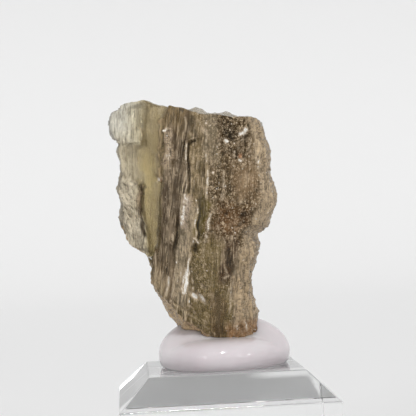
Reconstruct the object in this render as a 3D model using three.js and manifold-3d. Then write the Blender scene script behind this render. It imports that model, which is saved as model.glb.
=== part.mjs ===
// A fragment of streaky impact glass, held upright in a lump of putty on a clear bevelled block.
// Millimetres, +Z up, +X to the right of the front, +Y to the back. The origin is the centre of the
// block's underside.
import * as THREE from "three";
import { mergeVertices } from "three/addons/utils/BufferGeometryUtils.js";
import Module from "manifold-3d";

const wasm = await Module();
wasm.setup();

// The block
const BLOCK_WIDTH = 25.4;
const BLOCK_HEIGHT = 12.7;
const BEVEL_RUN = 3.6;
const BEVEL_DROP = 3.5;

// The putty, heights above the block
const PUTTY_RADIUS = 8.0;
const PUTTY_FOOT_RADIUS = 7.1;
const PUTTY_WAIST = 1.5;
const PUTTY_RISE_FRONT = 2.0;
const PUTTY_RISE_SIDE = 4.7;
const PUTTY_RISE_BACK = 4.4;
const PUTTY_RISE_MIDDLE = 3.2;
const PUTTY_STEP_AT = -1.2;
const PUTTY_STEP_WIDTH = 4.5;
const PUTTY_CENTRE = [0.2, 0.5];
const PUTTY_WAVE = 0.035;
const PUTTY_SIDES = 40;

// Clear space between touching pieces, and the extra around the glass in its pocket
const GAP = 0.3;
const POCKET_EXTRA = 0.15;
const POCKET_TOP = 0.45;

// The glass: its turn against the block, and its outline from the front, [across, height above the table]
const GLASS_TURN = THREE.MathUtils.degToRad(-3.55);
const LEFT_EDGE = [
  [-11.4, 30.2], [-11.5, 31.8], [-11.5, 33.0], [-11.9, 34.6], [-11.4, 36.4], [-11.4, 38.0],
  [-11.7, 39.4], [-11.5, 40.4], [-12.3, 41.0], [-12.6, 42.2], [-12.2, 43.7], [-11.2, 44.6],
];
const RIGHT_EDGE = [
  [4.4, 16.0], [4.5, 17.4], [4.7, 19.2], [4.1, 21.2], [4.1, 23.6], [4.9, 25.6], [5.2, 27.1], [4.9, 28.6],
  [6.3, 29.4], [6.8, 30.6], [7.4, 32.4], [7.2, 34.8], [6.9, 37.6], [6.25, 40.8], [6.1, 42.1],
];
const TOP_EDGE = [
  [-11.2, 44.6], [-10.2, 45.1], [-9.0, 45.3], [-7.9, 45.4], [-6.6, 44.9], [-3.6, 44.2],
  [-1.7, 43.5], [0.6, 43.2], [2.9, 42.8], [5.2, 42.6], [6.1, 42.1],
];
const BOTTOM_EDGE = [
  [-11.4, 30.2], [-10.7, 28.7], [-9.6, 27.2], [-8.8, 26.85], [-8.3, 26.2], [-8.15, 25.1], [-8.2, 23.9],
  [-7.7, 22.6], [-6.1, 20.7], [-4.5, 18.9], [-2.9, 17.6], [-1.4, 16.6], [-0.3, 16.1], [1.9, 16.0], [4.4, 16.0],
];
// Which layer of the glass meets each point of the bottom edge, as a share of the way across
const BOTTOM_SHARES = [0, 0.06, 0.13, 0.18, 0.215, 0.25, 0.29, 0.36, 0.49, 0.585, 0.66, 0.735, 0.79, 0.895, 1];
const LEFT_REACH = 3.0;
const RIGHT_REACH = 2.2;

// Distance of the front and back faces from the middle plane, [share across, depth]
const FRONT_PROFILE = [[0, 1.2], [0.05, 1.9], [0.2, 2.2], [0.35, 2.3], [0.8, 2.9], [0.92, 2.7], [1, 0.7]];
const BACK_PROFILE = [[0, 1.5], [0.06, 2.1], [0.35, 3.0], [0.6, 3.9], [0.86, 3.5], [1, 1.7]];
// How full those depths are along the layers, [share from bottom to top, factor]
const FRONT_FULLNESS = [[0, 0.58], [0.12, 0.78], [0.35, 0.97], [0.6, 1], [1, 0.9]];
const BACK_FULLNESS = [[0, 0.62], [0.18, 0.86], [0.5, 1], [1, 0.92]];

// The smooth recess left of the thick slab, [share from bottom to top, share across], and how wide the
// slope at its left is
const RECESS_LEFT = [
  [0, 0.27], [0.1, 0.235], [0.25, 0.195], [0.36, 0.175], [0.44, 0.1], [0.55, 0.075], [0.65, 0.1], [0.71, 0.19], [1, 0.24],
];
const RECESS_SLOPE = [[0, 0.03], [0.4, 0.035], [0.55, 0.13], [1, 0.14]];
const SLAB_EDGE = [
  [0, 0.25], [0.1, 0.27], [0.16, 0.32], [0.2, 0.375], [0.26, 0.388], [0.3, 0.388], [0.37, 0.37], [0.47, 0.358],
  [0.85, 0.345], [1, 0.36],
];
const RECESS_DEPTH = 0.9;
const SLAB_RISE = 1.6;
const LEDGE_WIDTH = 0.022;

// The thin pale knob at the top left: its lower ledge and right side, and how far it stands out
const KNOB_LEDGE = [[0, 0.652], [0.13, 0.69], [0.24, 0.72]];
const KNOB_SIDE = [[0.65, 0.2], [1, 0.23]];
const KNOB_RISE = 0.65;
const KNOB_SLOPE = 0.16;

// Raised ribs, and grooves where the height is negative: points as [across, along], half width and height
const RIBS = [
  { path: [[0.488, 0.95], [0.492, 0.888]], halfWidth: 0.17, height: 0.25 },
  { path: [[0.53, 0.965], [0.532, 0.918], [0.548, 0.885]], halfWidth: 0.4, height: -0.3 },
  { path: [[0.522, 0.832], [0.53, 0.85], [0.55, 0.86]], halfWidth: 0.16, height: -0.3 },
  { path: [[0.518, 0.83], [0.515, 0.72], [0.535, 0.592]], halfWidth: 0.12, height: -0.5 },
  { path: [[0.508, 0.825], [0.505, 0.715], [0.518, 0.592]], halfWidth: 0.12, height: 0.2 },
  { path: [[0.518, 0.562], [0.52, 0.505], [0.522, 0.428]], halfWidth: 0.3, height: 0.3 },
  { path: [[0.522, 0.428], [0.52, 0.362], [0.532, 0.235]], halfWidth: 0.16, height: 0.2 },
  { path: [[0.505, 0.473], [0.508, 0.33], [0.51, 0.205]], halfWidth: 0.22, height: -0.3 },
  { path: [[0.595, 0.578], [0.622, 0.495], [0.63, 0.392]], halfWidth: 0.12, height: -0.25 },
  { path: [[0.618, 0.582], [0.638, 0.503], [0.64, 0.402]], halfWidth: 0.32, height: -0.35 },
  { path: [[0.67, 0.535], [0.68, 0.49], [0.695, 0.468], [0.67, 0.402]], halfWidth: 0.16, height: 0.2 },
  { path: [[0.615, 0.34], [0.622, 0.36], [0.633, 0.338]], halfWidth: 0.24, height: -0.4 },
  { path: [[0.608, 0.25], [0.572, 0.105]], halfWidth: 0.3, height: -0.2 },
  { path: [[0.178, 0.205], [0.165, 0.16], [0.185, 0.115]], halfWidth: 0.3, height: -0.25 },
  { path: [[0.883, 0.57], [0.862, 0.54], [0.852, 0.512]], halfWidth: 0.3, height: -0.3 },
  { path: [[0.812, 0.382], [0.84, 0.34], [0.885, 0.298]], halfWidth: 0.5, height: -0.3 },
  { path: [[0.93, 0.94], [0.94, 0.785], [0.915, 0.63]], halfWidth: 0.22, height: 0.25 },
  { path: [[0.4, 0.9], [0.41, 0.6], [0.43, 0.3]], halfWidth: 0.22, height: 0.22 },
  { path: [[0.71, 0.72], [0.72, 0.5]], halfWidth: 0.2, height: 0.25 },
];

// Broken-out hollows of the front: centre as [across, along], radius and depth
const CHIPS = [
  { at: [0.555, 0.85], radius: 0.8, depth: 0.55 },
  { at: [0.622, 0.36], radius: 0.6, depth: 0.45 },
  { at: [0.662, 0.135], radius: 0.7, depth: 0.3 },
  { at: [0.855, 0.19], radius: 0.9, depth: 0.35 },
  { at: [0.825, 0.82], radius: 0.7, depth: 0.4 },
  { at: [0.77, 0.92], radius: 1.0, depth: 0.35 },
  { at: [0.8, 0.54], radius: 1.4, depth: 0.4 },
  { at: [0.3, 0.57], radius: 0.5, depth: 0.25 },
  { at: [0.1, 0.2], radius: 0.9, depth: 0.35 },
  { at: [0.05, 0.42], radius: 0.8, depth: 0.3 },
];

// The shell-like hollow of the back face: centre, radii, depth and the step of its ripples
const SHELL = { at: [0.6, 0.52], radius: 8.5, depth: 1.3, ripple: 0.09, step: 1.35 };

// The back lobe that hangs below the front edge, the rise of the broken top towards the back, its
// two tips as [across, height, half width], and the blunt foot inside the putty
const LOBE = { at: 0.64, halfWidth: 0.155, power: 6, drop: 2.6, reach: 5 };
const TOP_STEP = 0.25;
const TOP_RISE = 0.35;
const TOP_TIPS = [[0.545, 0.6, 0.03], [0.59, 0.35, 0.02], [0.765, 0.4, 0.03]];
const TOP_CALM = 0.65;
const FOOT_DEPTH = 1.3;
const TURNOVER = 0.045;
const TURNOVER_INSET = 0.4;

// Scale of the shares across and along, for measuring ribs and chips
const ACROSS = 17.6;
const ALONG = 24;

// Uneven layers: [layers across, lengths along, height]
const FRONT_LAYERS = [[22, 4, 0.22], [47, 7, 0.1]];
const BACK_LAYERS = [[15, 5, 0.34], [38, 8, 0.12]];
const LAYER_WAVE = 0.15;
const LUMP_SIZE = 3.2;
const LUMP_HEIGHT = 0.22;
const GRAIN_SIZE = 0.95;
const GRAIN_HEIGHT = 0.17;

const GLASS_COLUMNS = 54;
const GLASS_WALL_COLUMNS = 6;
const GLASS_ROWS = 30;
const GLASS_CAP_ROWS = 2;

const clamp = (value) => Math.min(1, Math.max(0, value));
const ease = (value) => clamp(value) ** 2 * (3 - 2 * clamp(value));
const rise = (value, middle, width) => ease((value - middle) / width + 0.5);
const mix = (a, b, share) => a + (b - a) * share;

/** The height of a bent line of [place, value] points, held level beyond its ends. */
function lineValue(points, place) {
  const next = points.findIndex(([end]) => end > place);
  if (next === 0) return points[0][1];
  if (next < 0) return points.at(-1)[1];
  const [from, low] = points[next - 1];
  const [to, high] = points[next];
  return mix(low, high, (place - from) / (to - from));
}

/** Shares of the way along an outline, by the length of its straight stretches. */
function lengthShares(edge) {
  const lengths = [0];
  for (let i = 1; i < edge.length; i += 1) {
    lengths.push(lengths[i - 1] + Math.hypot(edge[i][0] - edge[i - 1][0], edge[i][1] - edge[i - 1][1]));
  }
  return lengths.map((length) => length / lengths.at(-1));
}

/** A smooth curve through an outline's points, where each point has its own share of the way. */
function outline(edge, shares = lengthShares(edge)) {
  const last = edge.length - 1;
  const slope = (i, axis) => {
    const before = Math.max(0, i - 1);
    const after = Math.min(last, i + 1);
    return (edge[after][axis] - edge[before][axis]) / (shares[after] - shares[before]);
  };
  return (share) => {
    const at = clamp(share);
    const next = shares.findIndex((value, i) => i > 0 && value >= at);
    const i = next - 1;
    const step = shares[next] - shares[i];
    const w = (at - shares[i]) / step;
    return [0, 1].map((axis) => (
      (2 * w ** 3 - 3 * w ** 2 + 1) * edge[i][axis] + (w ** 3 - 2 * w ** 2 + w) * step * slope(i, axis)
      + (3 * w ** 2 - 2 * w ** 3) * edge[next][axis] + (w ** 3 - w ** 2) * step * slope(next, axis)
    ));
  };
}

const leftCurve = outline(LEFT_EDGE);
const rightCurve = outline(RIGHT_EDGE);
const topCurve = outline(TOP_EDGE);
const bottomCurve = outline(BOTTOM_EDGE, BOTTOM_SHARES);

/** How far the bends of the left and right edges move a layer, fading on the way inwards. */
function edgePull(s, t) {
  const left = leftCurve(t);
  const right = rightCurve(t);
  return [0, 1].map((axis) => {
    const leftOff = left[axis] - mix(LEFT_EDGE[0][axis], LEFT_EDGE.at(-1)[axis], t);
    const rightOff = right[axis] - mix(RIGHT_EDGE[0][axis], RIGHT_EDGE.at(-1)[axis], t);
    return (1 - s) ** LEFT_REACH * leftOff + s ** RIGHT_REACH * rightOff;
  });
}

/** Where a layer lies in the front view: s runs across from left to right, t from bottom to top. */
function layerPlace(s, t) {
  const top = topCurve(s);
  const bottom = bottomCurve(s);
  const pull = edgePull(s, t);
  return [0, 1].map((axis) => mix(bottom[axis], top[axis], t) + pull[axis]);
}

/** A repeatable number from 0 to 1 for a cell. */
function cellValue(i, j, k = 0) {
  const wave = Math.sin(i * 127.1 + j * 311.7 + k * 74.7) * 43758.5453;
  return wave - Math.floor(wave);
}

/** Smooth random heights from -1 to 1 over cells in space. */
function lumps(x, y, z) {
  const cell = [x, y, z].map(Math.floor);
  const [u, v, w] = [x - cell[0], y - cell[1], z - cell[2]].map(ease);
  let sum = 0;
  for (const [i, j, k] of [[0, 0, 0], [1, 0, 0], [0, 1, 0], [1, 1, 0], [0, 0, 1], [1, 0, 1], [0, 1, 1], [1, 1, 1]]) {
    const share = (i ? u : 1 - u) * (j ? v : 1 - v) * (k ? w : 1 - w);
    sum += share * cellValue(cell[0] + i, cell[1] + j, cell[2] + k);
  }
  return 2 * sum - 1;
}

/** Flat-topped layers with steep sides, each one breaking off here and there along its length. */
function layers(sizes, seed, s, t) {
  let height = 0;
  for (const [across, along, amount] of sizes) {
    const place = s * across + LAYER_WAVE * Math.sin(t * along * 1.7 + seed);
    const cell = Math.floor(place);
    const side = rise(place - cell, 0.5, 0.45);
    const level = (i) => {
      const length = t * along + cellValue(i, seed) * 7;
      const part = Math.floor(length);
      const end = rise(length - part, 0.5, 0.25);
      return mix(cellValue(i, part, seed), cellValue(i, part + 1, seed), end);
    };
    height += amount * (2 * mix(level(cell), level(cell + 1), side) - 1);
  }
  return height;
}

/** Distance in millimetres from a point on the face to a stretch between two others. */
function stretchDistance(s, t, [s0, t0], [s1, t1]) {
  const [x, y] = [(s - s0) * ACROSS, (t - t0) * ALONG];
  const [dx, dy] = [(s1 - s0) * ACROSS, (t1 - t0) * ALONG];
  const share = clamp((x * dx + y * dy) / (dx * dx + dy * dy));
  return Math.hypot(x - share * dx, y - share * dy);
}

/** Ribs, grooves and chips of the front face, as a height above it. */
function frontFeatures(s, t) {
  let height = 0;
  for (const { path, halfWidth, height: size } of RIBS) {
    let nearest = Infinity;
    for (let i = 1; i < path.length; i += 1) {
      nearest = Math.min(nearest, stretchDistance(s, t, path[i - 1], path[i]));
    }
    height += size * Math.exp(-((nearest / halfWidth) ** 2));
  }
  for (const { at, radius, depth } of CHIPS) {
    const share = Math.hypot((s - at[0]) * ACROSS, (t - at[1]) * ALONG) / radius;
    height -= depth * ease(1.25 - share);
  }
  return height;
}

/** Depth of the front face: the thick slab stands proud of the smooth recess at its left. */
function frontDepth(s, t) {
  const slab = rise(s, lineValue(SLAB_EDGE, t), LEDGE_WIDTH);
  const recess = rise(s, lineValue(RECESS_LEFT, t), lineValue(RECESS_SLOPE, t)) * (1 - slab);
  const knob = rise(t, lineValue(KNOB_LEDGE, s), LEDGE_WIDTH) * (1 - rise(s, lineValue(KNOB_SIDE, t), KNOB_SLOPE));
  const full = lineValue(FRONT_PROFILE, s) + slab * SLAB_RISE + knob * KNOB_RISE;
  return full * lineValue(FRONT_FULLNESS, t) - recess * RECESS_DEPTH;
}

/** Depth of the back face, hollowed like a shell with fine ripples. */
function backDepth(s, t) {
  const far = Math.hypot((s - SHELL.at[0]) * ACROSS, (t - SHELL.at[1]) * ALONG);
  const hollow = ease(1.15 - far / SHELL.radius);
  const ripples = SHELL.ripple * Math.cos((2 * Math.PI * far) / SHELL.step) * hollow;
  return lineValue(BACK_PROFILE, s) * lineValue(BACK_FULLNESS, t) - SHELL.depth * hollow + ripples;
}

/** How far a place across the glass is turned over into its end, 1 at the very end. */
const turnedOver = (share) => Math.max(0, 1 - share / TURNOVER) ** 2;

/** A point of the smooth body: d runs from -1 at the front face to 1 at the back. */
function bodyPoint(s, t, d) {
  const [x, z] = layerPlace(s, t);
  const front = frontDepth(s, t);
  const back = backDepth(s, t);
  const toBack = ease((d + 1) / 2);
  const inset = TURNOVER_INSET * d ** 2 * (turnedOver(s) - turnedOver(1 - s));
  const bell = Math.exp(-(((s - LOBE.at) / LOBE.halfWidth) ** LOBE.power));
  const lobe = LOBE.drop * bell * (1 - t) ** LOBE.reach * toBack;
  const foot = FOOT_DEPTH * rise(s, 0.72, 0.12) * (1 - d * d) * turnedOver(t);
  const plateau = rise(s, 0.44, 0.06) * (1 - rise(s, 0.95, 0.06));
  const tips = TOP_TIPS.reduce((sum, [at, height, width]) => sum + height * Math.exp(-(((s - at) / width) ** 2)), 0);
  const top = mix(-TOP_STEP, TOP_RISE * plateau + tips, ease((d + 0.4) / 1.2)) * t ** 8;
  return [x + inset, mix(-front, back, (d + 1) / 2), z - lobe - foot + top];
}

/** Height of the small forms at a point of the body. */
function relief(s, t, d, [x, y, z]) {
  const toBack = rise(d, 0, 1.2);
  const smooth = rise(s, lineValue(RECESS_LEFT, t), 0.03) * (1 - rise(s, lineValue(SLAB_EDGE, t), 0.02));
  const pull = edgePull(s, t);
  const [across, along] = [s + pull[0] / ACROSS, t + pull[1] / ALONG];
  const front = layers(FRONT_LAYERS, 3, across, along) * (1 - 0.8 * smooth) + frontFeatures(s, t);
  const back = layers(BACK_LAYERS, 11, across, along);
  const lump = LUMP_HEIGHT * lumps(x / LUMP_SIZE, y / LUMP_SIZE, z / LUMP_SIZE);
  const grain = GRAIN_HEIGHT * lumps(x / GRAIN_SIZE, y / GRAIN_SIZE, z / (2.5 * GRAIN_SIZE));
  const height = mix(front, back, toBack) + lump + grain * (1 - 0.7 * smooth * (1 - toBack));
  return height * (1 - TOP_CALM * rise(t, 0.985, 0.03));
}

/** A closed skin of loops around the glass: front, right side, back, left side, and both ends drawn shut. */
function glassSkin({ columns, wallColumns, rows, top, grow, detailed }) {
  const loop = [];
  for (let j = 0; j <= columns; j += 1) loop.push([j / columns, -1]);
  for (let j = 1; j < wallColumns; j += 1) loop.push([1, -1 + (2 * j) / wallColumns]);
  for (let j = columns; j >= 0; j -= 1) loop.push([j / columns, 1]);
  for (let j = 1; j < wallColumns; j += 1) loop.push([0, 1 - (2 * j) / wallColumns]);
  const levels = [];
  for (let i = 0; i < GLASS_CAP_ROWS; i += 1) levels.push([0, i / GLASS_CAP_ROWS]);
  for (let i = 0; i <= rows; i += 1) levels.push([(top * i) / rows, 1]);
  for (let i = GLASS_CAP_ROWS - 1; i >= 0; i -= 1) levels.push([top, i / GLASS_CAP_ROWS]);
  const points = [];
  const shares = [];
  for (const [t, open] of levels) {
    for (const [s, d] of loop) {
      points.push(...bodyPoint(s, t, d * open));
      shares.push(s, t, d * open);
    }
  }
  const faces = [];
  for (let i = 0; i + 1 < levels.length; i += 1) {
    for (let j = 0; j < loop.length; j += 1) {
      const next = (j + 1) % loop.length;
      const [a, b] = [i * loop.length + j, i * loop.length + next];
      const [c, e] = [a + loop.length, b + loop.length];
      faces.push(a, b, e, a, e, c);
    }
  }
  const skin = new THREE.BufferGeometry();
  skin.setAttribute("position", new THREE.Float32BufferAttribute(points, 3));
  skin.setAttribute("shares", new THREE.Float32BufferAttribute(shares, 3));
  skin.setIndex(faces);
  const shut = dropSlivers(mergeVertices(skin, 1e-4));
  shut.computeVertexNormals();
  const { position, normal, shares: place } = shut.attributes;
  for (let i = 0; i < position.count; i += 1) {
    const at = new THREE.Vector3().fromBufferAttribute(position, i);
    const [s, t, d] = [place.getX(i), place.getY(i), place.getZ(i)];
    const height = grow + (detailed ? relief(s, t, d, at.toArray()) : 0);
    at.addScaledVector(new THREE.Vector3().fromBufferAttribute(normal, i), height);
    position.setXYZ(i, at.x, at.y, at.z);
  }
  shut.deleteAttribute("shares");
  shut.deleteAttribute("normal");
  return shut;
}

/** Leaves out the triangles whose corners have run together. */
function dropSlivers(geometry) {
  const index = geometry.getIndex().array;
  const kept = [];
  for (let i = 0; i < index.length; i += 3) {
    const [a, b, c] = [index[i], index[i + 1], index[i + 2]];
    if (a !== b && b !== c && c !== a) kept.push(a, b, c);
  }
  geometry.setIndex(kept);
  return geometry;
}

/** A closed mesh as a solid that can be joined and cut. */
function solidOf(geometry) {
  const vertProperties = new Float32Array(geometry.getAttribute("position").array);
  const triVerts = new Uint32Array(geometry.getIndex().array);
  return new wasm.Manifold(new wasm.Mesh({ numProp: 3, vertProperties, triVerts }));
}

/** A solid's surface as a mesh geometry. */
function geometryOf(solid) {
  const { vertProperties, triVerts } = solid.getMesh();
  const geometry = new THREE.BufferGeometry();
  geometry.setAttribute("position", new THREE.BufferAttribute(vertProperties, 3));
  geometry.setIndex(new THREE.BufferAttribute(triVerts, 1));
  return geometry;
}

/** The bevelled block: a square outline carried up, drawn in over the bevel and closed on top. */
function blockGeometry() {
  const corner = Math.SQRT1_2 * BLOCK_WIDTH;
  const bevelled = Math.SQRT1_2 * (BLOCK_WIDTH - 2 * BEVEL_RUN);
  const profile = [[0, 0], [corner, 0], [corner, BLOCK_HEIGHT - BEVEL_DROP], [bevelled, BLOCK_HEIGHT], [0, BLOCK_HEIGHT]];
  const block = new THREE.LatheGeometry(profile.map(([r, z]) => new THREE.Vector2(r, z)), 4);
  return block.rotateY(Math.PI / 4).rotateX(Math.PI / 2);
}

/** How high the putty climbs over its middle: low in front of the glass, high at the sides and the back. */
function puttyRise(x, y) {
  const behind = mix(PUTTY_RISE_BACK, PUTTY_RISE_SIDE, x ** 2 / (x ** 2 + y ** 2));
  return mix(PUTTY_RISE_FRONT, behind, rise(y, PUTTY_STEP_AT, PUTTY_STEP_WIDTH));
}

/** The pressed lump of putty: a turned bulge whose crown is lifted by the angle around it. */
function puttyGeometry() {
  const profile = [[0, GAP], [PUTTY_FOOT_RADIUS, GAP]];
  const steps = 12;
  profile.push([mix(PUTTY_FOOT_RADIUS, PUTTY_RADIUS, 0.75), mix(GAP, PUTTY_WAIST, 0.4)]);
  for (let i = 0; i < steps; i += 1) {
    const angle = (i / steps) * (Math.PI / 2);
    profile.push([PUTTY_RADIUS * Math.cos(angle), PUTTY_WAIST + Math.sin(angle)]);
  }
  profile.push([0, PUTTY_WAIST + 1]);
  const lump = new THREE.LatheGeometry(profile.map(([r, z]) => new THREE.Vector2(r, z)), PUTTY_SIDES);
  lump.rotateX(Math.PI / 2);
  const position = lump.attributes.position;
  for (let i = 0; i < position.count; i += 1) {
    const [x, y, z] = [position.getX(i), position.getY(i), position.getZ(i)];
    const swell = 1 + PUTTY_WAVE * Math.sin(3 * Math.atan2(y, x) + 0.8);
    const out = Math.hypot(x, y) / PUTTY_RADIUS;
    const lift = out > 0 ? mix(PUTTY_RISE_MIDDLE, puttyRise(x * swell, y * swell), ease(out * 2.5)) : PUTTY_RISE_MIDDLE;
    const height = z > PUTTY_WAIST ? PUTTY_WAIST + (z - PUTTY_WAIST) * lift : z;
    position.setXYZ(i, PUTTY_CENTRE[0] + x * swell, PUTTY_CENTRE[1] + y * swell, BLOCK_HEIGHT + height);
  }
  return lump;
}

/** The same mesh with its corners shared, so that it is closed. */
function closed(geometry) {
  geometry.deleteAttribute("normal");
  geometry.deleteAttribute("uv");
  return dropSlivers(mergeVertices(geometry, 1e-4));
}

/** A named piece with its finish. */
function piece(name, geometry, finish) {
  const mesh = new THREE.Mesh(geometry, new THREE.MeshStandardMaterial(finish));
  mesh.name = name;
  return mesh;
}

const glass = glassSkin({
  columns: GLASS_COLUMNS, wallColumns: GLASS_WALL_COLUMNS, rows: GLASS_ROWS, top: 1, grow: 0, detailed: true,
});
glass.rotateZ(GLASS_TURN);

const pocket = glassSkin({
  columns: 24, wallColumns: 4, rows: 8, top: POCKET_TOP, grow: GAP + POCKET_EXTRA, detailed: true,
});
pocket.rotateZ(GLASS_TURN);

const putty = solidOf(closed(puttyGeometry())).subtract(solidOf(pocket));

const specimen = new THREE.Group();
specimen.add(piece("impact_glass", glass, { color: 0x7d6f52, roughness: 0.35, metalness: 0 }));
specimen.add(piece("mounting_putty", geometryOf(putty), { color: 0xe2dbe0, roughness: 0.45, metalness: 0 }));
specimen.add(piece("acrylic_base", closed(blockGeometry()), { color: 0xf2f4f6, roughness: 0.05, metalness: 0 }));

export default specimen;
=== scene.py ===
"""A streaky impact-glass fragment, stood in putty on a clear bevelled block, in a plain pale studio.

Lengths in the classes are millimetres, as a maker would mark them, and MM turns them into metres where a
mesh is made. X runs to the right of the front, Y to the back and Z up from the block's underside.
"""

import logging
import math
from dataclasses import dataclass, field, replace
from enum import Enum

import bpy
import numpy as np
from mathutils import Matrix, Vector


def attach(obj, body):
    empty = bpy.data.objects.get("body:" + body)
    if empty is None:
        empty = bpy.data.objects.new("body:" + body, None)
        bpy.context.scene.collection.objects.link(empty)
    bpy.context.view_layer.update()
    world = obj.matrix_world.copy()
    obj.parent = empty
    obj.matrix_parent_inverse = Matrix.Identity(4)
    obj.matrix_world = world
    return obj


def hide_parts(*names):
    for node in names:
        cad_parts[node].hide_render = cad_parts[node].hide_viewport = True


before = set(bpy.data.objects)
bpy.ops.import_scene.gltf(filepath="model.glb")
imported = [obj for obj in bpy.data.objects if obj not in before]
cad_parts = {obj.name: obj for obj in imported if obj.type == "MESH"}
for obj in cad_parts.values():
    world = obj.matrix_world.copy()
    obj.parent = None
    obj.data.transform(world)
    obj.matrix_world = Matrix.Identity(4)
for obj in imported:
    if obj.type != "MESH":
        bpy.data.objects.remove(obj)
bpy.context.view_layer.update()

Array = np.ndarray
Triple = tuple[float, float, float]
Colour = Triple
Line = tuple[tuple[float, float], ...]

MM = 0.001
BODY = "root"
GLASS_TURN = math.radians(-3.55)

log = logging.getLogger("specimen")


class Kept(Enum):
    """The kinds of value that a mesh keeps for its points: the attribute's type and its member's name."""

    NUMBER = ("FLOAT", "value")
    PLACE = ("FLOAT_VECTOR", "vector")
    TINT = ("FLOAT_COLOR", "color")


class Overlay(Enum):
    """How one colour is laid over another."""

    PLAIN = "MIX"
    LIGHTER = "LIGHTEN"


def ease(value: Array) -> Array:
    """A soft step from 0 to 1: the share, held between 0 and 1, squared times three less twice itself."""
    held = np.clip(value, 0.0, 1.0)
    return held * held * (3.0 - 2.0 * held)


def rise(value: Array, middle: Array | float, width: float) -> Array:
    """A soft step from 0 to 1 of a given width, half way up at the middle."""
    return ease((value - middle) / width + 0.5)


def mix(low: Array | float, high: Array | float, share: Array | float) -> Array:
    """The value a share of the way from low to high."""
    return low + (high - low) * share


def line_value(points: Line, place: Array) -> Array:
    """The height of a bent line of (place, value) points, held level beyond its ends."""
    places, values = zip(*points)
    return np.interp(place, places, values)


def cell_value(i: Array, j: Array, k: Array | float = 0.0) -> Array:
    """A repeatable number from 0 to 1 for a cell: the fraction of a large multiple of a sine."""
    wave = np.sin(i * 127.1 + j * 311.7 + k * 74.7) * 43758.5453
    return wave - np.floor(wave)


def lumps(x: Array, y: Array, z: Array) -> Array:
    """Smooth random heights: a point eases between the numbers of the eight cell corners around it.

    Args:
        x, y, z: the place, in cells.

    Returns:
        Heights from -1 to 1.
    """
    cells = [np.floor(axis) for axis in (x, y, z)]
    shares = [ease(axis - cell) for axis, cell in zip((x, y, z), cells)]
    total = np.zeros(np.broadcast(x, y, z).shape)
    for corner in np.ndindex(2, 2, 2):
        weight = 1.0
        for step, share in zip(corner, shares):
            weight = weight * (share if step else 1.0 - share)
        total += weight * cell_value(*(cell + step for cell, step in zip(cells, corner)))
    return 2.0 * total - 1.0


def facets(x: Array, y: Array, z: Array) -> tuple[Array, Array]:
    """Flat tilted facets around scattered centres, one to a cell.

    A point belongs to the nearest centre, lies on its tilted plane and takes its value.

    Args:
        x, y, z: the place, in cells.

    Returns:
        The planes' heights, around zero, and the facets' values from -1 to 1.
    """
    place = np.stack([x, y, z], axis=-1)
    cell = np.floor(place)
    nearest = np.full(len(place), np.inf)
    height = np.zeros(len(place))
    value = np.zeros(len(place))
    for offset in np.ndindex(3, 3, 3):
        own = cell + np.array(offset) - 1.0
        i, j, k = own.T
        centre = own + np.stack([cell_value(i + shift, j, k) for shift in (0.3, 5.1, 9.7)], axis=-1)
        away = place - centre
        distance = np.einsum("ij,ij->i", away, away)
        closer = distance < nearest
        tilt = np.stack([cell_value(i, j + shift, k) for shift in (2.3, 4.9, 8.1)], axis=-1) * 2.0 - 1.0
        nearest = np.where(closer, distance, nearest)
        height = np.where(closer, np.einsum("ij,ij->i", away, tilt), height)
        value = np.where(closer, 2.0 * cell_value(i, j, k + 0.37) - 1.0, value)
    return height, value


@dataclass(frozen=True)
class Layers:
    """Flat-topped layers with steep sides, each breaking off here and there along its length."""

    across: float
    along: float
    height: float
    side: float = 0.45

    def at(self, seed: float, s: Array, t: Array) -> Array:
        """Height of the layers: a cell's own level, easing at its side to the next cell's level.

        Args:
            seed: picks another set of layers.
            s, t: shares of the way across and along.

        Returns:
            Heights in millimetres, around zero.
        """
        place = s * self.across + 0.15 * np.sin(t * self.along * 1.7 + seed)
        cell = np.floor(place)
        side = rise(place - cell, 0.5, self.side)
        return self.height * (2.0 * mix(self.level(seed, cell, t), self.level(seed, cell + 1, t), side) - 1.0)

    def level(self, seed: float, cell: Array, t: Array) -> Array:
        """One layer's level from 0 to 1 along its length.

        Args:
            seed: picks the set of layers.
            cell: the layer's number.
            t: share of the way along.

        Returns:
            The level at each place.
        """
        length = t * self.along + cell_value(cell, seed) * 7.0
        part = np.floor(length)
        end = rise(length - part, 0.5, 0.25)
        return mix(cell_value(cell, part, seed), cell_value(cell, part + 1, seed), end)


@dataclass(frozen=True)
class Clouds:
    """Smooth random lumps of one size, given in millimetres across, in depth and along."""

    size: Triple
    height: float = 1.0
    shift: float = 0.0
    lift: float = 0.0

    def at(self, x: Array, y: Array, z: Array) -> Array:
        """Heights around zero."""
        across, deep, along = self.size
        return self.height * lumps(x / across, y / deep + self.shift, z / along + self.lift)


@dataclass(frozen=True)
class Shards:
    """Broken facets of one size, given in millimetres across, in depth and along."""

    size: Triple
    height: float
    share: float
    shift: float = 0.0

    def at(self, x: Array, y: Array, z: Array) -> Array:
        """Heights in millimetres, and values up to their share in the tint, as two rows."""
        across, deep, along = self.size
        height, value = facets(x / across, y / deep + self.shift, z / along)
        return np.stack([self.height * height, self.share * value])


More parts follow.
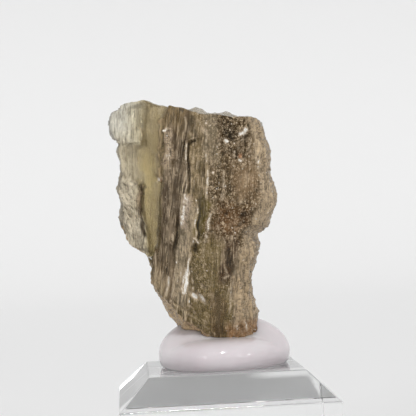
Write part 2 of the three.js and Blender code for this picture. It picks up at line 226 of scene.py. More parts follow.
@dataclass(frozen=True)
class Outline:
    """A smooth curve through points of an outline, where each point has its own share of the way."""

    points: Line
    shares: tuple[float, ...] = ()

    def places(self) -> Array:
        """The points' shares, by the length of the straight stretches where none are given."""
        if self.shares:
            return np.array(self.shares)
        lengths = np.hypot(*np.diff(np.array(self.points), axis=0).T)
        run = np.concatenate([[0.0], np.cumsum(lengths)])
        return run / run[-1]

    def at(self, share: Array) -> Array:
        """Points of the curve, by cubic pieces whose slopes are the chords between neighbours.

        Args:
            share: shares of the way.

        Returns:
            The places across and above, in millimetres, on a new last axis.
        """
        knots = self.places()
        edge = np.array(self.points)
        slopes = np.empty_like(edge)
        slopes[1:-1] = (edge[2:] - edge[:-2]) / (knots[2:] - knots[:-2])[:, None]
        slopes[0] = (edge[1] - edge[0]) / (knots[1] - knots[0])
        slopes[-1] = (edge[-1] - edge[-2]) / (knots[-1] - knots[-2])
        i = np.clip(np.searchsorted(knots, share, side="left") - 1, 0, len(knots) - 2)
        step = (knots[i + 1] - knots[i])[..., None]
        w = (share - knots[i])[..., None] / step
        return (
            (2 * w**3 - 3 * w**2 + 1) * edge[i]
            + (w**3 - 2 * w**2 + w) * step * slopes[i]
            + (3 * w**2 - 2 * w**3) * edge[i + 1]
            + (w**3 - w**2) * step * slopes[i + 1]
        )


@dataclass(frozen=True)
class Rib:
    """A raised rib of the front face, or a groove where its height is negative.

    The path's points are shares (across, along). The tone whitens it above 0 and darkens it below: partly
    the glass's own pale and dark streaks, partly a painted highlight on a crest and painted shade in a groove,
    a crack or under an overhang. A ragged one is broken up along its length.
    """

    path: Line
    half_width: float
    height: float
    tone: float
    ragged: float

    @classmethod
    def marked(cls, path: tuple[int, ...], *sizes: int) -> "Rib":
        """A rib from a row: its path in thousandths of the way, then its other numbers in hundredths."""
        places = [value / 1000 for value in path]
        return cls(tuple(zip(places[::2], places[1::2])), *(value / 100 for value in sizes))


@dataclass(frozen=True)
class Chip:
    """A broken-out hollow of the front face, at a share (across, along), with a tone: partly its own pale or
    dark colour, partly a painted glint where pale and painted shade in the hollow where dark.
    """

    at: tuple[float, float]
    radius: float
    depth: float
    tone: float

    @classmethod
    def marked(cls, across: int, along: int, *sizes: int) -> "Chip":
        """A chip from a row: its place in thousandths of the way, then its other numbers in hundredths."""
        return cls((across / 1000, along / 1000), *(value / 100 for value in sizes))


@dataclass(frozen=True)
class Look:
    """How a stretch of glass looks: its tint, and how clear, gritty and calm it is from 0 to 1."""

    tint: Colour
    clear: float
    grit: float = 0.3
    calm: float = 0.0

    def row(self) -> Array:
        """The tint's three channels, then the clearness, grit and calm."""
        return np.array((*self.tint, self.clear, self.grit, self.calm))


@dataclass(frozen=True)
class Zone:
    """A stretch of the fragment with its own look.

    Its sides are places across, or lines of (share along, share across), and its ends are shares along.
    """

    left: Line | float
    right: Line | float
    low: float
    high: float
    look: Look
    soft: float = 0.03

    def cover(self, s: Array, t: Array) -> Array:
        """How much of the zone's own look a point has, from 0 to 1.

        Args:
            s, t: shares of the way across and along.

        Returns:
            The shares of the look.
        """
        left, right = (
            line_value(side, t) if isinstance(side, tuple) else side for side in (self.left, self.right)
        )
        across = rise(s, left, self.soft) * (1.0 - rise(s, right, self.soft))
        along = rise(t, self.low, 2 * self.soft) * (1.0 - rise(t, self.high, 2 * self.soft))
        return across * along


RECESS_LEFT: Line = (
    (0, 0.27), (0.1, 0.235), (0.25, 0.195), (0.36, 0.175), (0.44, 0.1), (0.55, 0.075), (0.65, 0.1),
    (0.71, 0.19), (1, 0.24),
)
SLAB_EDGE: Line = (
    (0, 0.25), (0.1, 0.27), (0.16, 0.32), (0.2, 0.375), (0.26, 0.388), (0.3, 0.388), (0.37, 0.37),
    (0.47, 0.358), (0.85, 0.345), (1, 0.36),
)
KNOB_LEDGE: Line = ((0, 0.652), (0.13, 0.69), (0.24, 0.72))
KNOB_SIDE: Line = ((0.65, 0.2), (1, 0.23))

# Rib tones: partly the glass's own pale and dark streaks; the white ones also paint highlights on crests, and
# the dark ones paint shade in grooves, cracks and under overhangs.
RIBS = tuple(Rib.marked(*row) for row in (
    ((930, 940, 940, 785, 915, 630), 22, 25, 10, 100),
    ((400, 900, 410, 600, 430, 300), 22, 22, 10, 100),
    ((710, 720, 720, 500), 20, 25, 10, 100),
    ((205, 815, 198, 728), 9, 5, 70, 50),
    ((198, 880, 202, 845), 9, 5, 50, 50),
    ((75, 940, 80, 800), 7, 6, 50, 90),
    ((115, 930, 120, 760), 7, -6, -30, 90),
    ((150, 920, 150, 800), 7, 6, 50, 90),
    ((178, 930, 178, 760), 6, -6, -30, 80),
    ((28, 900, 20, 780), 8, 6, 60, 70),
    ((105, 772, 72, 682), 12, 5, 40, 60),
    ((135, 790, 105, 692), 12, 5, 45, 60),
    ((165, 868, 170, 770), 9, 5, 30, 60),
    ((5, 662, 55, 652, 105, 692, 140, 688, 178, 712), 16, 10, 50, 80),
    ((300, 950, 312, 840, 322, 732), 25, -10, -25, 40),
    ((342, 880, 350, 798, 358, 735), 14, -20, -65, 30),
    ((348, 732, 332, 662, 338, 615), 12, -15, -50, 40),
    ((352, 855, 372, 870, 398, 868), 20, 15, 50, 90),
    ((358, 852, 375, 818, 382, 798), 26, 15, 45, 90),
    ((382, 798, 385, 750, 378, 695), 28, 15, 40, 90),
    ((435, 848, 442, 688, 448, 562), 12, 5, 25, 100),
    ((405, 678, 425, 498, 432, 320), 10, 5, 20, 100),
    ((462, 825, 465, 670, 468, 545), 14, -8, -35, 80),
    ((488, 950, 492, 888), 17, 25, 45, 40),
    ((478, 942, 482, 883), 10, -10, -45, 40),
    ((530, 965, 532, 918, 548, 885), 40, -30, -60, 50),
    ((562, 968, 588, 938, 602, 900), 15, 15, 30, 50),
    ((525, 852, 535, 865, 552, 875), 12, 20, 80, 30),
    ((522, 832, 530, 850, 550, 860), 16, -30, -90, 30),
    ((518, 830, 515, 720, 535, 592), 10, -50, -100, 25),
    ((505, 825, 502, 715, 515, 592), 10, 20, 85, 50),
    ((608, 782, 605, 690), 10, -20, -70, 30),
    ((615, 915, 618, 883), 16, 15, 70, 60),
    ((618, 883, 622, 753, 633, 600), 9, 15, 80, 90),
    ((633, 842, 638, 755), 10, -10, -40, 60),
    ((790, 840, 790, 810), 14, 10, 80, 30),
    ((800, 845, 795, 805), 12, -10, -70, 30),
    ((915, 832, 912, 798), 15, 5, 60, 40),
    ((890, 890, 862, 838, 832, 805), 12, 10, 30, 80),
    ((972, 950, 975, 800, 968, 580), 14, 10, 45, 80),
    ((950, 940, 952, 800, 945, 680), 10, -10, -50, 80),
    ((925, 850, 920, 760), 16, 10, 60, 70),
    ((905, 300, 870, 200, 845, 120), 13, 8, 45, 70),
    ((950, 250, 935, 120), 10, -8, -45, 80),
    ((708, 648, 718, 595), 13, 10, 60, 60),
    ((685, 750, 682, 655), 12, -10, -50, 100),
    ((722, 740, 718, 675), 10, 10, 50, 100),
    ((662, 825, 660, 668), 12, -8, -35, 100),
    ((520, 562, 524, 505, 528, 428), 36, 30, 90, 50),
    ((522, 428, 520, 362, 532, 235), 14, 20, 60, 80),
    ((532, 235, 510, 132, 505, 20), 10, 15, 60, 50),
    ((505, 473, 508, 330, 510, 205), 22, -30, -85, 70),
    ((583, 575, 612, 490, 622, 390), 11, 10, 100, 30),
    ((595, 578, 622, 495, 630, 392), 12, -25, -95, 25),
    ((618, 582, 638, 503, 640, 402), 32, -35, -50, 30),
    ((670, 535, 680, 490, 695, 468, 670, 402), 16, 20, 85, 80),
    ((670, 402, 675, 335), 16, 10, 30, 80),
    ((738, 492, 788, 452, 805, 392), 10, 10, 50, 70),
    ((758, 490, 800, 442, 818, 382), 14, -10, -50, 50),
    ((610, 355, 615, 385, 638, 380), 16, 20, 85, 60),
    ((615, 340, 622, 360, 633, 338), 24, -40, -95, 50),
    ((608, 318, 606, 220), 14, -10, 95, 10),
    ((600, 230, 575, 115), 30, -15, 95, 10),
    ((572, 105, 578, 55), 9, 5, 60, 30),
    ((625, 310, 612, 173), 10, -10, -50, 50),
    ((468, 118, 468, 88, 455, 20), 22, -10, 75, 20),
    ((568, 238, 560, 178), 9, 5, 60, 60),
    ((633, 255, 628, 158), 9, 5, 50, 90),
    ((548, 245, 520, 40), 8, 5, 35, 90),
    ((558, 432, 570, 318), 8, 5, 35, 100),
    ((572, 490, 585, 375), 10, -5, -50, 80),
    ((350, 178, 358, 128), 16, 5, 50, 60),
    ((432, 268, 428, 138, 415, 28), 12, -8, -35, 100),
    ((478, 342, 488, 300), 18, 5, 50, 120),
    ((178, 205, 165, 160, 185, 115), 30, -25, -75, 40),
    ((178, 400, 180, 210), 12, -15, -45, 50),
    ((148, 15, 190, 20, 300, 135), 22, -10, -60, 40),
    ((192, 165, 195, 52), 14, 5, 40, 80),
    ((883, 570, 862, 540, 852, 512), 30, -30, -70, 60),
    ((888, 598, 872, 578), 16, 10, 50, 50),
    ((810, 608, 745, 558), 22, -15, -50, 80),
    ((812, 382, 840, 340, 885, 298), 50, -30, -60, 40),
    ((790, 392, 820, 322, 860, 280), 14, 10, 30, 80),
    ((962, 442, 972, 418, 972, 372, 950, 338), 14, 10, 40, 70),
    ((940, 445, 938, 400, 935, 338), 12, -10, -30, 80),
    ((818, 268, 852, 275, 880, 250, 855, 220), 15, 10, 45, 90),
    ((835, 250, 870, 235, 890, 260), 20, -10, -45, 80),
    ((900, 72, 898, 40), 13, 10, 60, 70),
    ((928, 78, 945, 35), 13, 10, 60, 70),
    ((880, 58, 908, 65, 950, 55), 13, 10, 50, 80),
    ((918, 62, 925, 30), 16, -10, -50, 60),
    ((785, 192, 780, 85, 785, 28), 35, -10, -40, 40),
    ((808, 98, 815, 20), 9, -15, -60, 40),
    ((890, 312, 935, 238, 938, 150), 12, 6, 25, 100),
    ((908, 340, 962, 218), 12, -6, -30, 100),
    ((488, 10, 568, 32, 665, 32, 768, 20), 9, 6, 30, 90),
    ((498, 28, 580, 45, 678, 48), 12, -10, -35, 80),
))
# Chip tones: the pale ones are partly painted glints, and the dark ones partly painted shade in their hollows.
CHIPS = tuple(Chip.marked(*row) for row in (
    (555, 850, 80, 55, -20), (622, 360, 60, 45, 0), (662, 135, 70, 30, 10), (855, 190, 90, 35, 10),
    (825, 820, 70, 40, 0), (770, 920, 100, 35, -20), (800, 540, 140, 40, -10), (300, 570, 50, 25, 0),
    (100, 200, 90, 35, 0), (50, 420, 80, 30, 0), (60, 850, 75, 0, 30), (165, 950, 75, 10, -60),
    (232, 942, 50, 5, -30), (875, 950, 30, 5, 100), (860, 935, 28, 5, 100), (842, 928, 28, 5, 100),
    (745, 885, 36, 10, 95), (700, 862, 24, 5, 55), (775, 932, 16, 5, 100), (792, 910, 16, 5, 100),
    (808, 915, 15, 5, 90), (618, 950, 20, 5, 85), (645, 942, 15, 5, 90), (658, 718, 15, 5, 90),
    (915, 342, 14, 5, 100), (915, 448, 18, 10, 70), (795, 840, 12, 0, 60), (820, 808, 24, 5, 90),
    (322, 575, 34, 10, 85), (345, 592, 26, 10, 70), (633, 132, 45, 15, 95), (685, 143, 50, 15, 95),
    (690, 205, 30, 10, 40), (660, 152, 30, 10, 35), (620, 68, 20, 5, 50), (645, 52, 20, 5, 50),
    (710, 52, 15, 5, 40), (258, 143, 26, 10, 50), (335, 235, 24, 10, 40), (365, 272, 20, 10, 35),
    (72, 232, 35, 10, 50), (85, 122, 40, 10, 50), (122, 85, 35, 10, 50), (38, 145, 25, 15, -60),
    (82, 175, 25, 15, -55), (112, 330, 30, 10, -40), (85, 302, 20, 10, -50), (780, 905, 45, 15, -70),
    (750, 922, 40, 10, -50), (858, 910, 40, 10, -60), (738, 740, 30, 10, -50), (718, 588, 35, 10, -50),
    (850, 572, 40, 15, -70), (835, 555, 30, 10, -60), (585, 872, 30, 10, -40), (530, 888, 30, 15, 50),
    (455, 985, 30, 0, -80), (60, 300, 40, 15, 70), (100, 260, 30, 10, 60), (130, 200, 25, 10, 60),
    (55, 380, 30, 15, -70), (90, 400, 25, 10, 50), (30, 330, 30, 10, -60), (120, 270, 25, 10, -60),
    (60, 200, 22, 10, -60), (150, 130, 28, 10, 60),
))

PALE_GRAIN: Colour = (0.6, 0.46, 0.3)
BASE = Look((0.22, 0.165, 0.1), 0.25, 0.4, 0.3)
# UNDERSIDE: the underside's frosted colour, made paler as painted light that offsets the shade beneath the
# fragment.
UNDERSIDE = Look((0.88, 0.64, 0.38), 0.4, 0.7, 0.3)
# TOPSIDE: partly the top's own pale colour, partly painted light on the upward face.
TOPSIDE = Look((0.88, 0.79, 0.62), 0.55, 0.4, 0.6)
KNOB = Look((0.99, 0.95, 0.82), 0.46, 0.1, 0.35)
KNOB_RIGHT = Look((0.97, 0.86, 0.58), 0.72, 0.1, 0.3)
PALE = Look((0.97, 0.85, 0.64), 0.35, 0.6, 0.3)
WINDOW = Look((0.3, 0.222, 0.086), 0.93, 0.08, 0.8)
WINDOW_GLOW = Look((0.55, 0.43, 0.17), 0.95, 0.05, 0.85)
WINDOW_LOW = Look((0.85, 0.68, 0.32), 0.75, 0.15, 0.4)
SLAB_TOP = Look((0.23, 0.15, 0.062), 0.4, 0.1, 0.5)
SLAB = Look((0.09, 0.058, 0.031), 0.15, 0.12, 0.5)
# SLAB_LOW: partly the lower slab's own colour, partly painted light that offsets the shade where the face
# turns down.
SLAB_LOW = Look((0.21, 0.145, 0.08), 0.2, 0.2, 0.1)
# EDGE_LOW: partly its own colour, partly painted light that offsets the shade where the lower edge turns
# under.
EDGE_LOW = Look((0.42, 0.32, 0.19), 0.2, 0.3, 0.1)
GREY_TOP = Look((0.35, 0.27, 0.165), 0.25, 0.6, 0.5)
MIDDLE = Look((0.255, 0.182, 0.086), 0.2, 0.35, 0.2)
GREY_BAND = Look((0.4, 0.315, 0.205), 0.2, 0.45, 0.2)
OLIVE = Look((0.17, 0.125, 0.03), 0.2, 0.2, 0.4)
GRANULAR = Look((0.135, 0.082, 0.031), 0.15, 1.0, 0.7)
DARKEST = Look((0.09, 0.052, 0.02), 0.1, 1, 0.8)
ROSY = Look((0.3, 0.19, 0.095), 0.25, 0.6, 0.6)
MARGIN = Look((0.85, 0.65, 0.42), 0.42, 0.9, 0.4)
BROWN = Look((0.23, 0.11, 0.04), 0.15, 0.9, 0.7)
GREEN = Look((0.235, 0.165, 0.055), 0.35, 0.6, 0.6)
DARK_SIDE = Look((0.07, 0.032, 0.01), 0.15, 0.3, 0.4)
DARK_BAND = Look((0.085, 0.055, 0.028), 0.2, 0.3)
DARK_FOOT = Look((0.15, 0.088, 0.022), 0.4, 0.2, 0.6)
FAN = Look((0.75, 0.56, 0.345), 0.42, 0.6, 0.1)
RED_FOOT = Look((0.54, 0.3, 0.13), 0.35, 0.7, 0.5)
RIDGE_SIDE = Look((0.88, 0.77, 0.55), 0.42, 0.25, 0.5)
WINDOW_TOP = Look((0.62, 0.5, 0.28), 0.85, 0.1, 0.5)
SLAB_CALM = Look((0.086, 0.056, 0.031), 0.15, 0.1, 0.65)
# LEDGE: painted light: pale for the highlight on the ledge's edge and to offset the shade of the step beside
# it.
LEDGE = Look((0.54, 0.4, 0.22), 0.3, 0.1, 0.4)
PINK_LUMP = Look((0.58, 0.43, 0.29), 0.2, 0.9, 0.1)
PINK_RIB = Look((0.68, 0.54, 0.42), 0.3, 0.6, 0.2)
RUST = Look((0.5, 0.17, 0.05), 0.1, 0.3)

ZONES = (
    Zone(-0.1, RECESS_LEFT, -0.1, 0.68, PALE, 0.05),
    Zone(-0.1, 0.23, 0.68, 1.1, KNOB_RIGHT, 0.1),
    Zone(-0.1, 0.14, 0.66, 1.1, KNOB, 0.14),
    Zone(RECESS_LEFT, SLAB_EDGE, -0.1, 1.1, WINDOW, 0.06),
    Zone(0.2, 0.33, 0.0, 0.32, WINDOW_LOW, 0.06),
    Zone(0.15, 0.28, 0.34, 0.6, WINDOW_GLOW, 0.12),
    Zone(0.2, 0.33, 0.84, 1.1, WINDOW_TOP, 0.08),
    Zone(-0.1, 0.15, 0.43, 0.69, RIDGE_SIDE, 0.1),
    Zone(0.32, 0.365, 0.58, 0.92, LEDGE, 0.02),
    Zone(SLAB_EDGE, 0.52, -0.1, 1.1, SLAB),
    Zone(SLAB_EDGE, 0.5, -0.1, 0.2, SLAB_LOW, 0.08),
    Zone(0.25, 0.44, -0.1, 0.1, EDGE_LOW, 0.08),
    Zone(0.34, 0.49, 0.88, 1.1, SLAB_TOP, 0.06),
    Zone(0.4, 0.48, 0.22, 0.54, SLAB_CALM, 0.03),
    Zone(0.36, 0.405, 0.66, 0.88, PINK_LUMP, 0.02),
    Zone(0.52, 0.63, -0.1, 1.1, MIDDLE),
    Zone(0.52, 0.6, 0.05, 0.55, GREY_BAND),
    Zone(0.512, 0.555, 0.4, 0.575, PINK_RIB, 0.02),
    Zone(0.63, 0.92, 0.38, 1.1, GRANULAR),
    Zone(0.6, 0.7, 0.76, 1.1, GREY_TOP, 0.04),
    Zone(0.7, 0.88, 0.84, 0.98, DARKEST, 0.07),
    Zone(0.6, 0.66, 0.39, 0.6, OLIVE, 0.02),
    Zone(0.77, 0.9, 0.63, 0.8, ROSY, 0.06),
    Zone(0.7, 0.89, 0.47, 0.6, BROWN, 0.05),
    Zone(0.63, 0.87, -0.1, 0.42, GREEN),
    Zone(0.91, 1.1, 0.36, 1.1, MARGIN, 0.04),
    Zone(0.885, 1.1, -0.1, 0.4, FAN, 0.04),
    Zone(0.79, 0.88, 0.24, 0.46, DARK_SIDE, 0.03),
    Zone(0.475, 0.515, 0.55, 0.85, DARK_BAND, 0.02),
    Zone(0.44, 0.47, 0.12, 0.34, DARK_BAND, 0.02),
    Zone(0.15, 0.185, 0.1, 0.42, DARK_BAND, 0.02),
    Zone(0.84, 1.1, -0.1, 0.07, RED_FOOT),
    Zone(0.74, 0.83, -0.1, 0.2, DARK_FOOT, 0.04),
    Zone(0.33, 0.345, 0.57, 0.59, RUST, 0.01),
    Zone(0.825, 0.84, 0.83, 0.85, RUST, 0.01),
)


@dataclass
class Fragment:
    """The glass fragment: layers that run from its lower edge to its broken top, closed all round."""

    name: str = "impact_glass_fragment"
    left: Outline = Outline((
        (-11.4, 30.2), (-11.5, 31.8), (-11.5, 33.0), (-11.9, 34.6), (-11.4, 36.4), (-11.4, 38.0),
        (-11.7, 39.4), (-11.5, 40.4), (-12.3, 41.0), (-12.6, 42.2), (-12.2, 43.7), (-11.2, 44.6),
    ))
    right: Outline = Outline((
        (4.4, 16.0), (4.5, 17.4), (4.7, 19.2), (4.1, 21.2), (4.1, 23.6), (4.9, 25.6), (5.2, 27.1), (4.9, 28.6),
        (6.3, 29.4), (6.8, 30.6), (7.4, 32.4), (7.2, 34.8), (6.9, 37.6), (6.25, 40.8), (6.1, 42.1),
    ))
    top: Outline = Outline((
        (-11.2, 44.6), (-10.2, 45.1), (-9.0, 45.3), (-7.9, 45.4), (-6.6, 44.9), (-3.6, 44.2),
        (-1.7, 43.5), (0.6, 43.2), (2.9, 42.8), (5.2, 42.6), (6.1, 42.1),
    ))
    bottom: Outline = Outline(
        (
            (-11.4, 30.2), (-10.7, 28.7), (-9.6, 27.2), (-8.8, 26.85), (-8.3, 26.2), (-8.15, 25.1),
            (-8.2, 23.9), (-7.7, 22.6), (-6.1, 20.7), (-4.5, 18.9), (-2.9, 17.6), (-1.4, 16.6),
            (-0.3, 16.1), (1.9, 16.0), (4.4, 16.0),
        ),
        (0, 0.06, 0.13, 0.18, 0.215, 0.25, 0.29, 0.36, 0.49, 0.585, 0.66, 0.735, 0.79, 0.895, 1),
    )
    left_reach: float = 3.0
    right_reach: float = 2.2
    front_profile: Line = ((0, 1.2), (0.05, 1.9), (0.2, 2.2), (0.35, 2.3), (0.8, 2.9), (0.92, 2.7), (1, 0.7))
    back_profile: Line = ((0, 1.5), (0.06, 2.1), (0.35, 3.0), (0.6, 3.9), (0.86, 3.5), (1, 1.7))
    front_fullness: Line = ((0, 0.58), (0.12, 0.78), (0.35, 0.97), (0.6, 1), (1, 0.9))
    back_fullness: Line = ((0, 0.62), (0.18, 0.86), (0.5, 1), (1, 0.92))
    recess_depth: float = 0.9
    slab_rise: float = 1.6
    recess_slope: Line = ((0, 0.03), (0.4, 0.035), (0.55, 0.13), (1, 0.14))
    ledge_width: float = 0.022
    knob_rise: float = 0.65
    knob_slope: float = 0.16
    shell_at: tuple[float, float] = (0.6, 0.52)
    shell_radius: float = 8.5
    shell_rim: float = 1.15
    shell_depth: float = 1.3
    shell_ripple: float = 0.09
    shell_step: float = 1.35
    lobe_at: float = 0.64
    lobe_half_width: float = 0.155
    lobe_power: float = 6.0
    lobe_drop: float = 2.6
    lobe_reach: float = 5.0
    top_step: float = 0.25
    top_rise: float = 0.35
    top_ends: tuple[float, float] = (0.44, 0.95)
    top_slope: float = 0.06
    top_tips: tuple[Triple, ...] = ((0.545, 0.6, 0.03), (0.59, 0.35, 0.02), (0.765, 0.4, 0.03))
    foot_depth: float = 1.3
    foot_from: tuple[float, float] = (0.72, 0.12)
    turnover: float = 0.045
    turnover_inset: float = 0.4
    across: float = 17.6
    along: float = 24.0
    front_layers: tuple[Layers, ...] = (Layers(22, 4, 0.22), Layers(47, 7, 0.1), Layers(110, 11, 0.035))
    back_layers: tuple[Layers, ...] = (Layers(15, 5, 0.34), Layers(38, 8, 0.12), Layers(95, 12, 0.04))
    body_lumps: Clouds = Clouds((3.2, 3.2, 3.2), 0.22)
    body_grain: Clouds = Clouds((0.95, 0.95, 2.375), 0.17)
    streak: Clouds = Clouds((0.9, 6, 6), 0.35, 3)
    hair: Clouds = Clouds((0.18, 2, 1.9), 1, 7)
    grains: tuple[Clouds, ...] = (Clouds((0.42, 0.4, 0.5), 0.8), Clouds((0.22, 0.2, 0.26)))
    blotches: tuple[Clouds, ...] = (Clouds((1.3, 2, 1.8), 0.9), Clouds((0.5, 0.8, 0.75), 0.8, 0, 5))
    chip_rim: float = 1.25
    top_from: float = 0.985
    top_calm: float = 0.65
    splinters: tuple[Shards, ...] = (
        Shards((0.6, 2.5, 4.5), 0.08, 0.25), Shards((0.27, 1.5, 2.3), 0.08, 0.75, 9),
    )
    crumbs: tuple[Shards, ...] = (
        Shards((0.7, 0.7, 0.85), 0.2, 0.35), Shards((0.36, 0.36, 0.42), 0.12, 0.65, 9),
    )
    back_shares: tuple[float, ...] = (0.5, 0.5, 0.5, 1, 1, 0)
    line_wander: float = 0.07
    zone_wander: float = 0.25
    columns: int = 168
    wall_columns: int = 14
    rows: int = 220
    cap_rows: int = 20

    def edge_pull(self, s: Array, t: Array) -> Array:
        """How far the left and right edges' own bends move a point, fading as a power of the way inwards.

        Args:
            s, t: shares of the way across and along.

        Returns:
            The moves across and above, in millimetres, on a new last axis.
        """
        share = t[..., None]
        pull = 0.0
        for edge, fade in ((self.left, (1 - s) ** self.left_reach), (self.right, s**self.right_reach)):
            straight = mix(np.array(edge.points[0]), np.array(edge.points[-1]), share)
            pull = pull + fade[..., None] * (edge.at(t) - straight)
        return pull

    def layer_place(self, s: Array, t: Array) -> tuple[Array, Array]:
        """Where a layer lies across and above: straight from bottom to top, and pulled by the edges."""
        moved = mix(self.bottom.at(s), self.top.at(s), t[..., None]) + self.edge_pull(s, t)
        return moved[..., 0], moved[..., 1]

    def layer_grain(self, s: Array, t: Array) -> tuple[Array, Array]:
        """The place in the straight run of the layers, in millimetres across and along."""
        pull = self.edge_pull(s, t)
        return s * self.across + pull[..., 0], t * self.along + pull[..., 1]

    def front_depth(self, s: Array, t: Array) -> Array:
        """Depth of the front face: the slab and the knob stand proud, and the smooth recess lies back.

        Args:
            s, t: shares of the way across and along.

        Returns:
            Millimetres in front of the middle plane.
        """
        slab = rise(s, line_value(SLAB_EDGE, t), self.ledge_width)
        recess = rise(s, line_value(RECESS_LEFT, t), line_value(self.recess_slope, t)) * (1 - slab)
        ledge = rise(t, line_value(KNOB_LEDGE, s), self.ledge_width)
        knob = ledge * (1 - rise(s, line_value(KNOB_SIDE, t), self.knob_slope))
        full = line_value(self.front_profile, s) + slab * self.slab_rise + knob * self.knob_rise
        return full * line_value(self.front_fullness, t) - recess * self.recess_depth

    def back_depth(self, s: Array, t: Array) -> Array:
        """Depth of the back face: a profile times its fullness, less a hollow with cosine ripples.

        Args:
            s, t: shares of the way across and along.

        Returns:
            Millimetres behind the middle plane.
        """
        far = self.distance(s, t, self.shell_at)
        hollow = ease(self.shell_rim - far / self.shell_radius)
        ripples = self.shell_ripple * np.cos(2 * np.pi * far / self.shell_step) * hollow
        full = line_value(self.back_profile, s) * line_value(self.back_fullness, t)
        return full - self.shell_depth * hollow + ripples

    def distance(self, s: Array, t: Array, at: tuple[float, float]) -> Array:
        """Distance in millimetres over the face from a point to a place given in shares."""
        return np.hypot((s - at[0]) * self.across, (t - at[1]) * self.along)

    def turned_over(self, share: Array) -> Array:
        """How far a place is turned over into an end: 1 at the end, falling as a square to 0."""
        return np.maximum(0.0, 1.0 - share / self.turnover) ** 2

    def body(self, s: Array, t: Array, d: Array) -> Array:
        """Points of the smooth body.

        The front view's place, with the depth going straight from the front face to the back one. The
        edges turn over by a square of d, the back's lower lobe hangs as a bell of s, the foot is a
        rounded wedge, and the top climbs to the back with bells for its tips.

        Args:
            s, t: shares of the way across and along.
            d: -1 on the front face to 1 on the back face.

        Returns:
            Points in millimetres, on a new last axis.
        """
        x, z = self.layer_place(s, t)
        inset = self.turnover_inset * d**2 * (self.turned_over(s) - self.turned_over(1 - s))
        bell = np.exp(-(np.abs((s - self.lobe_at) / self.lobe_half_width) ** self.lobe_power))
        lobe = self.lobe_drop * bell * (1 - t) ** self.lobe_reach * ease((d + 1) / 2)
        foot = self.foot_depth * rise(s, *self.foot_from) * (1 - d * d) * self.turned_over(t)
        start, end = self.top_ends
        plateau = rise(s, start, self.top_slope) * (1 - rise(s, end, self.top_slope))
        tips = sum(height * np.exp(-(((s - at) / width) ** 2)) for at, height, width in self.top_tips)
        climb = mix(-self.top_step, self.top_rise * plateau + tips, ease((d + 0.4) / 1.2)) * t**8
        y = mix(-self.front_depth(s, t), self.back_depth(s, t), (d + 1) / 2)
        return np.stack([x + inset, y, z - lobe - foot + climb], axis=-1)

    def rib_distance(self, rib: Rib, s: Array, t: Array) -> Array:
        """Distance in millimetres from a rib's path.

        Args:
            rib: the rib.
            s, t: shares of the way across and along.

        Returns:
            The distances to its nearest stretch.
        """
        nearest = np.full(s.shape, np.inf)
        for (s0, t0), (s1, t1) in zip(rib.path, rib.path[1:]):
            x, y = (s - s0) * self.across, (t - t0) * self.along
            dx, dy = (s1 - s0) * self.across, (t1 - t0) * self.along
            share = np.clip((x * dx + y * dy) / (dx * dx + dy * dy), 0, 1)
            nearest = np.minimum(nearest, np.hypot(x - share * dx, y - share * dy))
        return nearest

    def chip_share(self, chip: Chip, s: Array, t: Array) -> Array:
        """How deep in a chip a point is, from 0 to 1, with a soft rim."""
        return ease(self.chip_rim - self.distance(s, t, chip.at) / chip.radius)

    def relief(self, s: Array, t: Array, d: Array, points: Array) -> Array:
        """Height of the small forms, in millimetres.

        Front and back have layers of their own, the front has its ribs and chips too, and lumps and a
        grain drawn out along the layers go all round. Ribs are bells of the distance from their paths.

        Args:
            s, t: shares of the way across and along.
            d: -1 on the front face to 1 on the back face.
            points: the places in millimetres.

        Returns:
            How far each point is raised along its own direction.
        """
        to_back = rise(d, 0.0, 1.2)
        *_, grit, calm = self.zoned(s, t).T
        streaky = 1 - 0.9 * calm * (1 - to_back)
        crumbly = mix(grit, 0.4, to_back) + 0.15 * (1 - d**2)
        grain_s, grain_t = (v / size for v, size in zip(self.layer_grain(s, t), (self.across, self.along)))
        sw, tw = self.wandering(s, t, self.line_wander)
        front = sum(layer.at(3, grain_s, grain_t) for layer in self.front_layers) * streaky
        for rib in RIBS:
            front += rib.height * np.exp(-((self.rib_distance(rib, sw, tw) / rib.half_width) ** 2))
        front -= sum(chip.depth * self.chip_share(chip, sw, tw) for chip in CHIPS)
        back = sum(layer.at(11, grain_s, grain_t) for layer in self.back_layers)
        x, y, z = np.moveaxis(points, -1, 0)
        lump, grain = self.body_lumps.at(x, y, z), self.body_grain.at(x, y, z)
        splinters, crumbs = self.broken(s, t, points)
        fine = (grain + splinters[0]) * streaky + crumbs[0] * crumbly
        height = mix(front, back * (1 - 0.6 * calm), to_back) + lump + fine
        return height * (1 - self.top_calm * rise(t, self.top_from, 0.03))

    def wandering(self, s: Array, t: Array, by: float) -> tuple[Array, Array]:
        """The shares moved to and fro, so that drawn lines wander.

        Args:
            s, t: shares of the way across and along.
            by: how far they move, in millimetres.

        Returns:
            The moved shares.
        """
        x, z = s * self.across, t * self.along
        wide = lumps(x / 1.6, 3.0, z / 2.2) + 0.8 * lumps(x / 0.5, 5.0, z / 0.6)
        long = 2.5 * lumps(x / 0.9, 8.0, z / 1.6)
        return s + by * wide / self.across, t + by * long / self.along

    def broken(self, s: Array, t: Array, points: Array) -> tuple[Array, Array]:
        """Splinters along the layers and crumbs of the rough zones: heights and values of each.

        Args:
            s, t: shares of the way across and along.
            points: the places in millimetres.

        Returns:
            Two rows for the splinters and two for the crumbs.
        """
        x, z = self.layer_grain(s, t)
        splinters = sum(shards.at(x, points[:, 1], z) for shards in self.splinters)
        return splinters, sum(shards.at(*np.moveaxis(points, -1, 0)) for shards in self.crumbs)

    def loop(self) -> tuple[Array, Array]:
        """The shares across and the depths of one loop: front, right side, back, left side.

        Returns:
            The shares s and the depths d, in order round the loop.
        """
        across = np.linspace(0, 1, self.columns + 1)
        wall = np.linspace(-1, 1, self.wall_columns + 1)[1:-1]
        s = np.concatenate([across, np.ones_like(wall), across[::-1], np.zeros_like(wall)])
        d = np.concatenate([-np.ones_like(across), wall, np.ones_like(across), -wall])
        return s, d

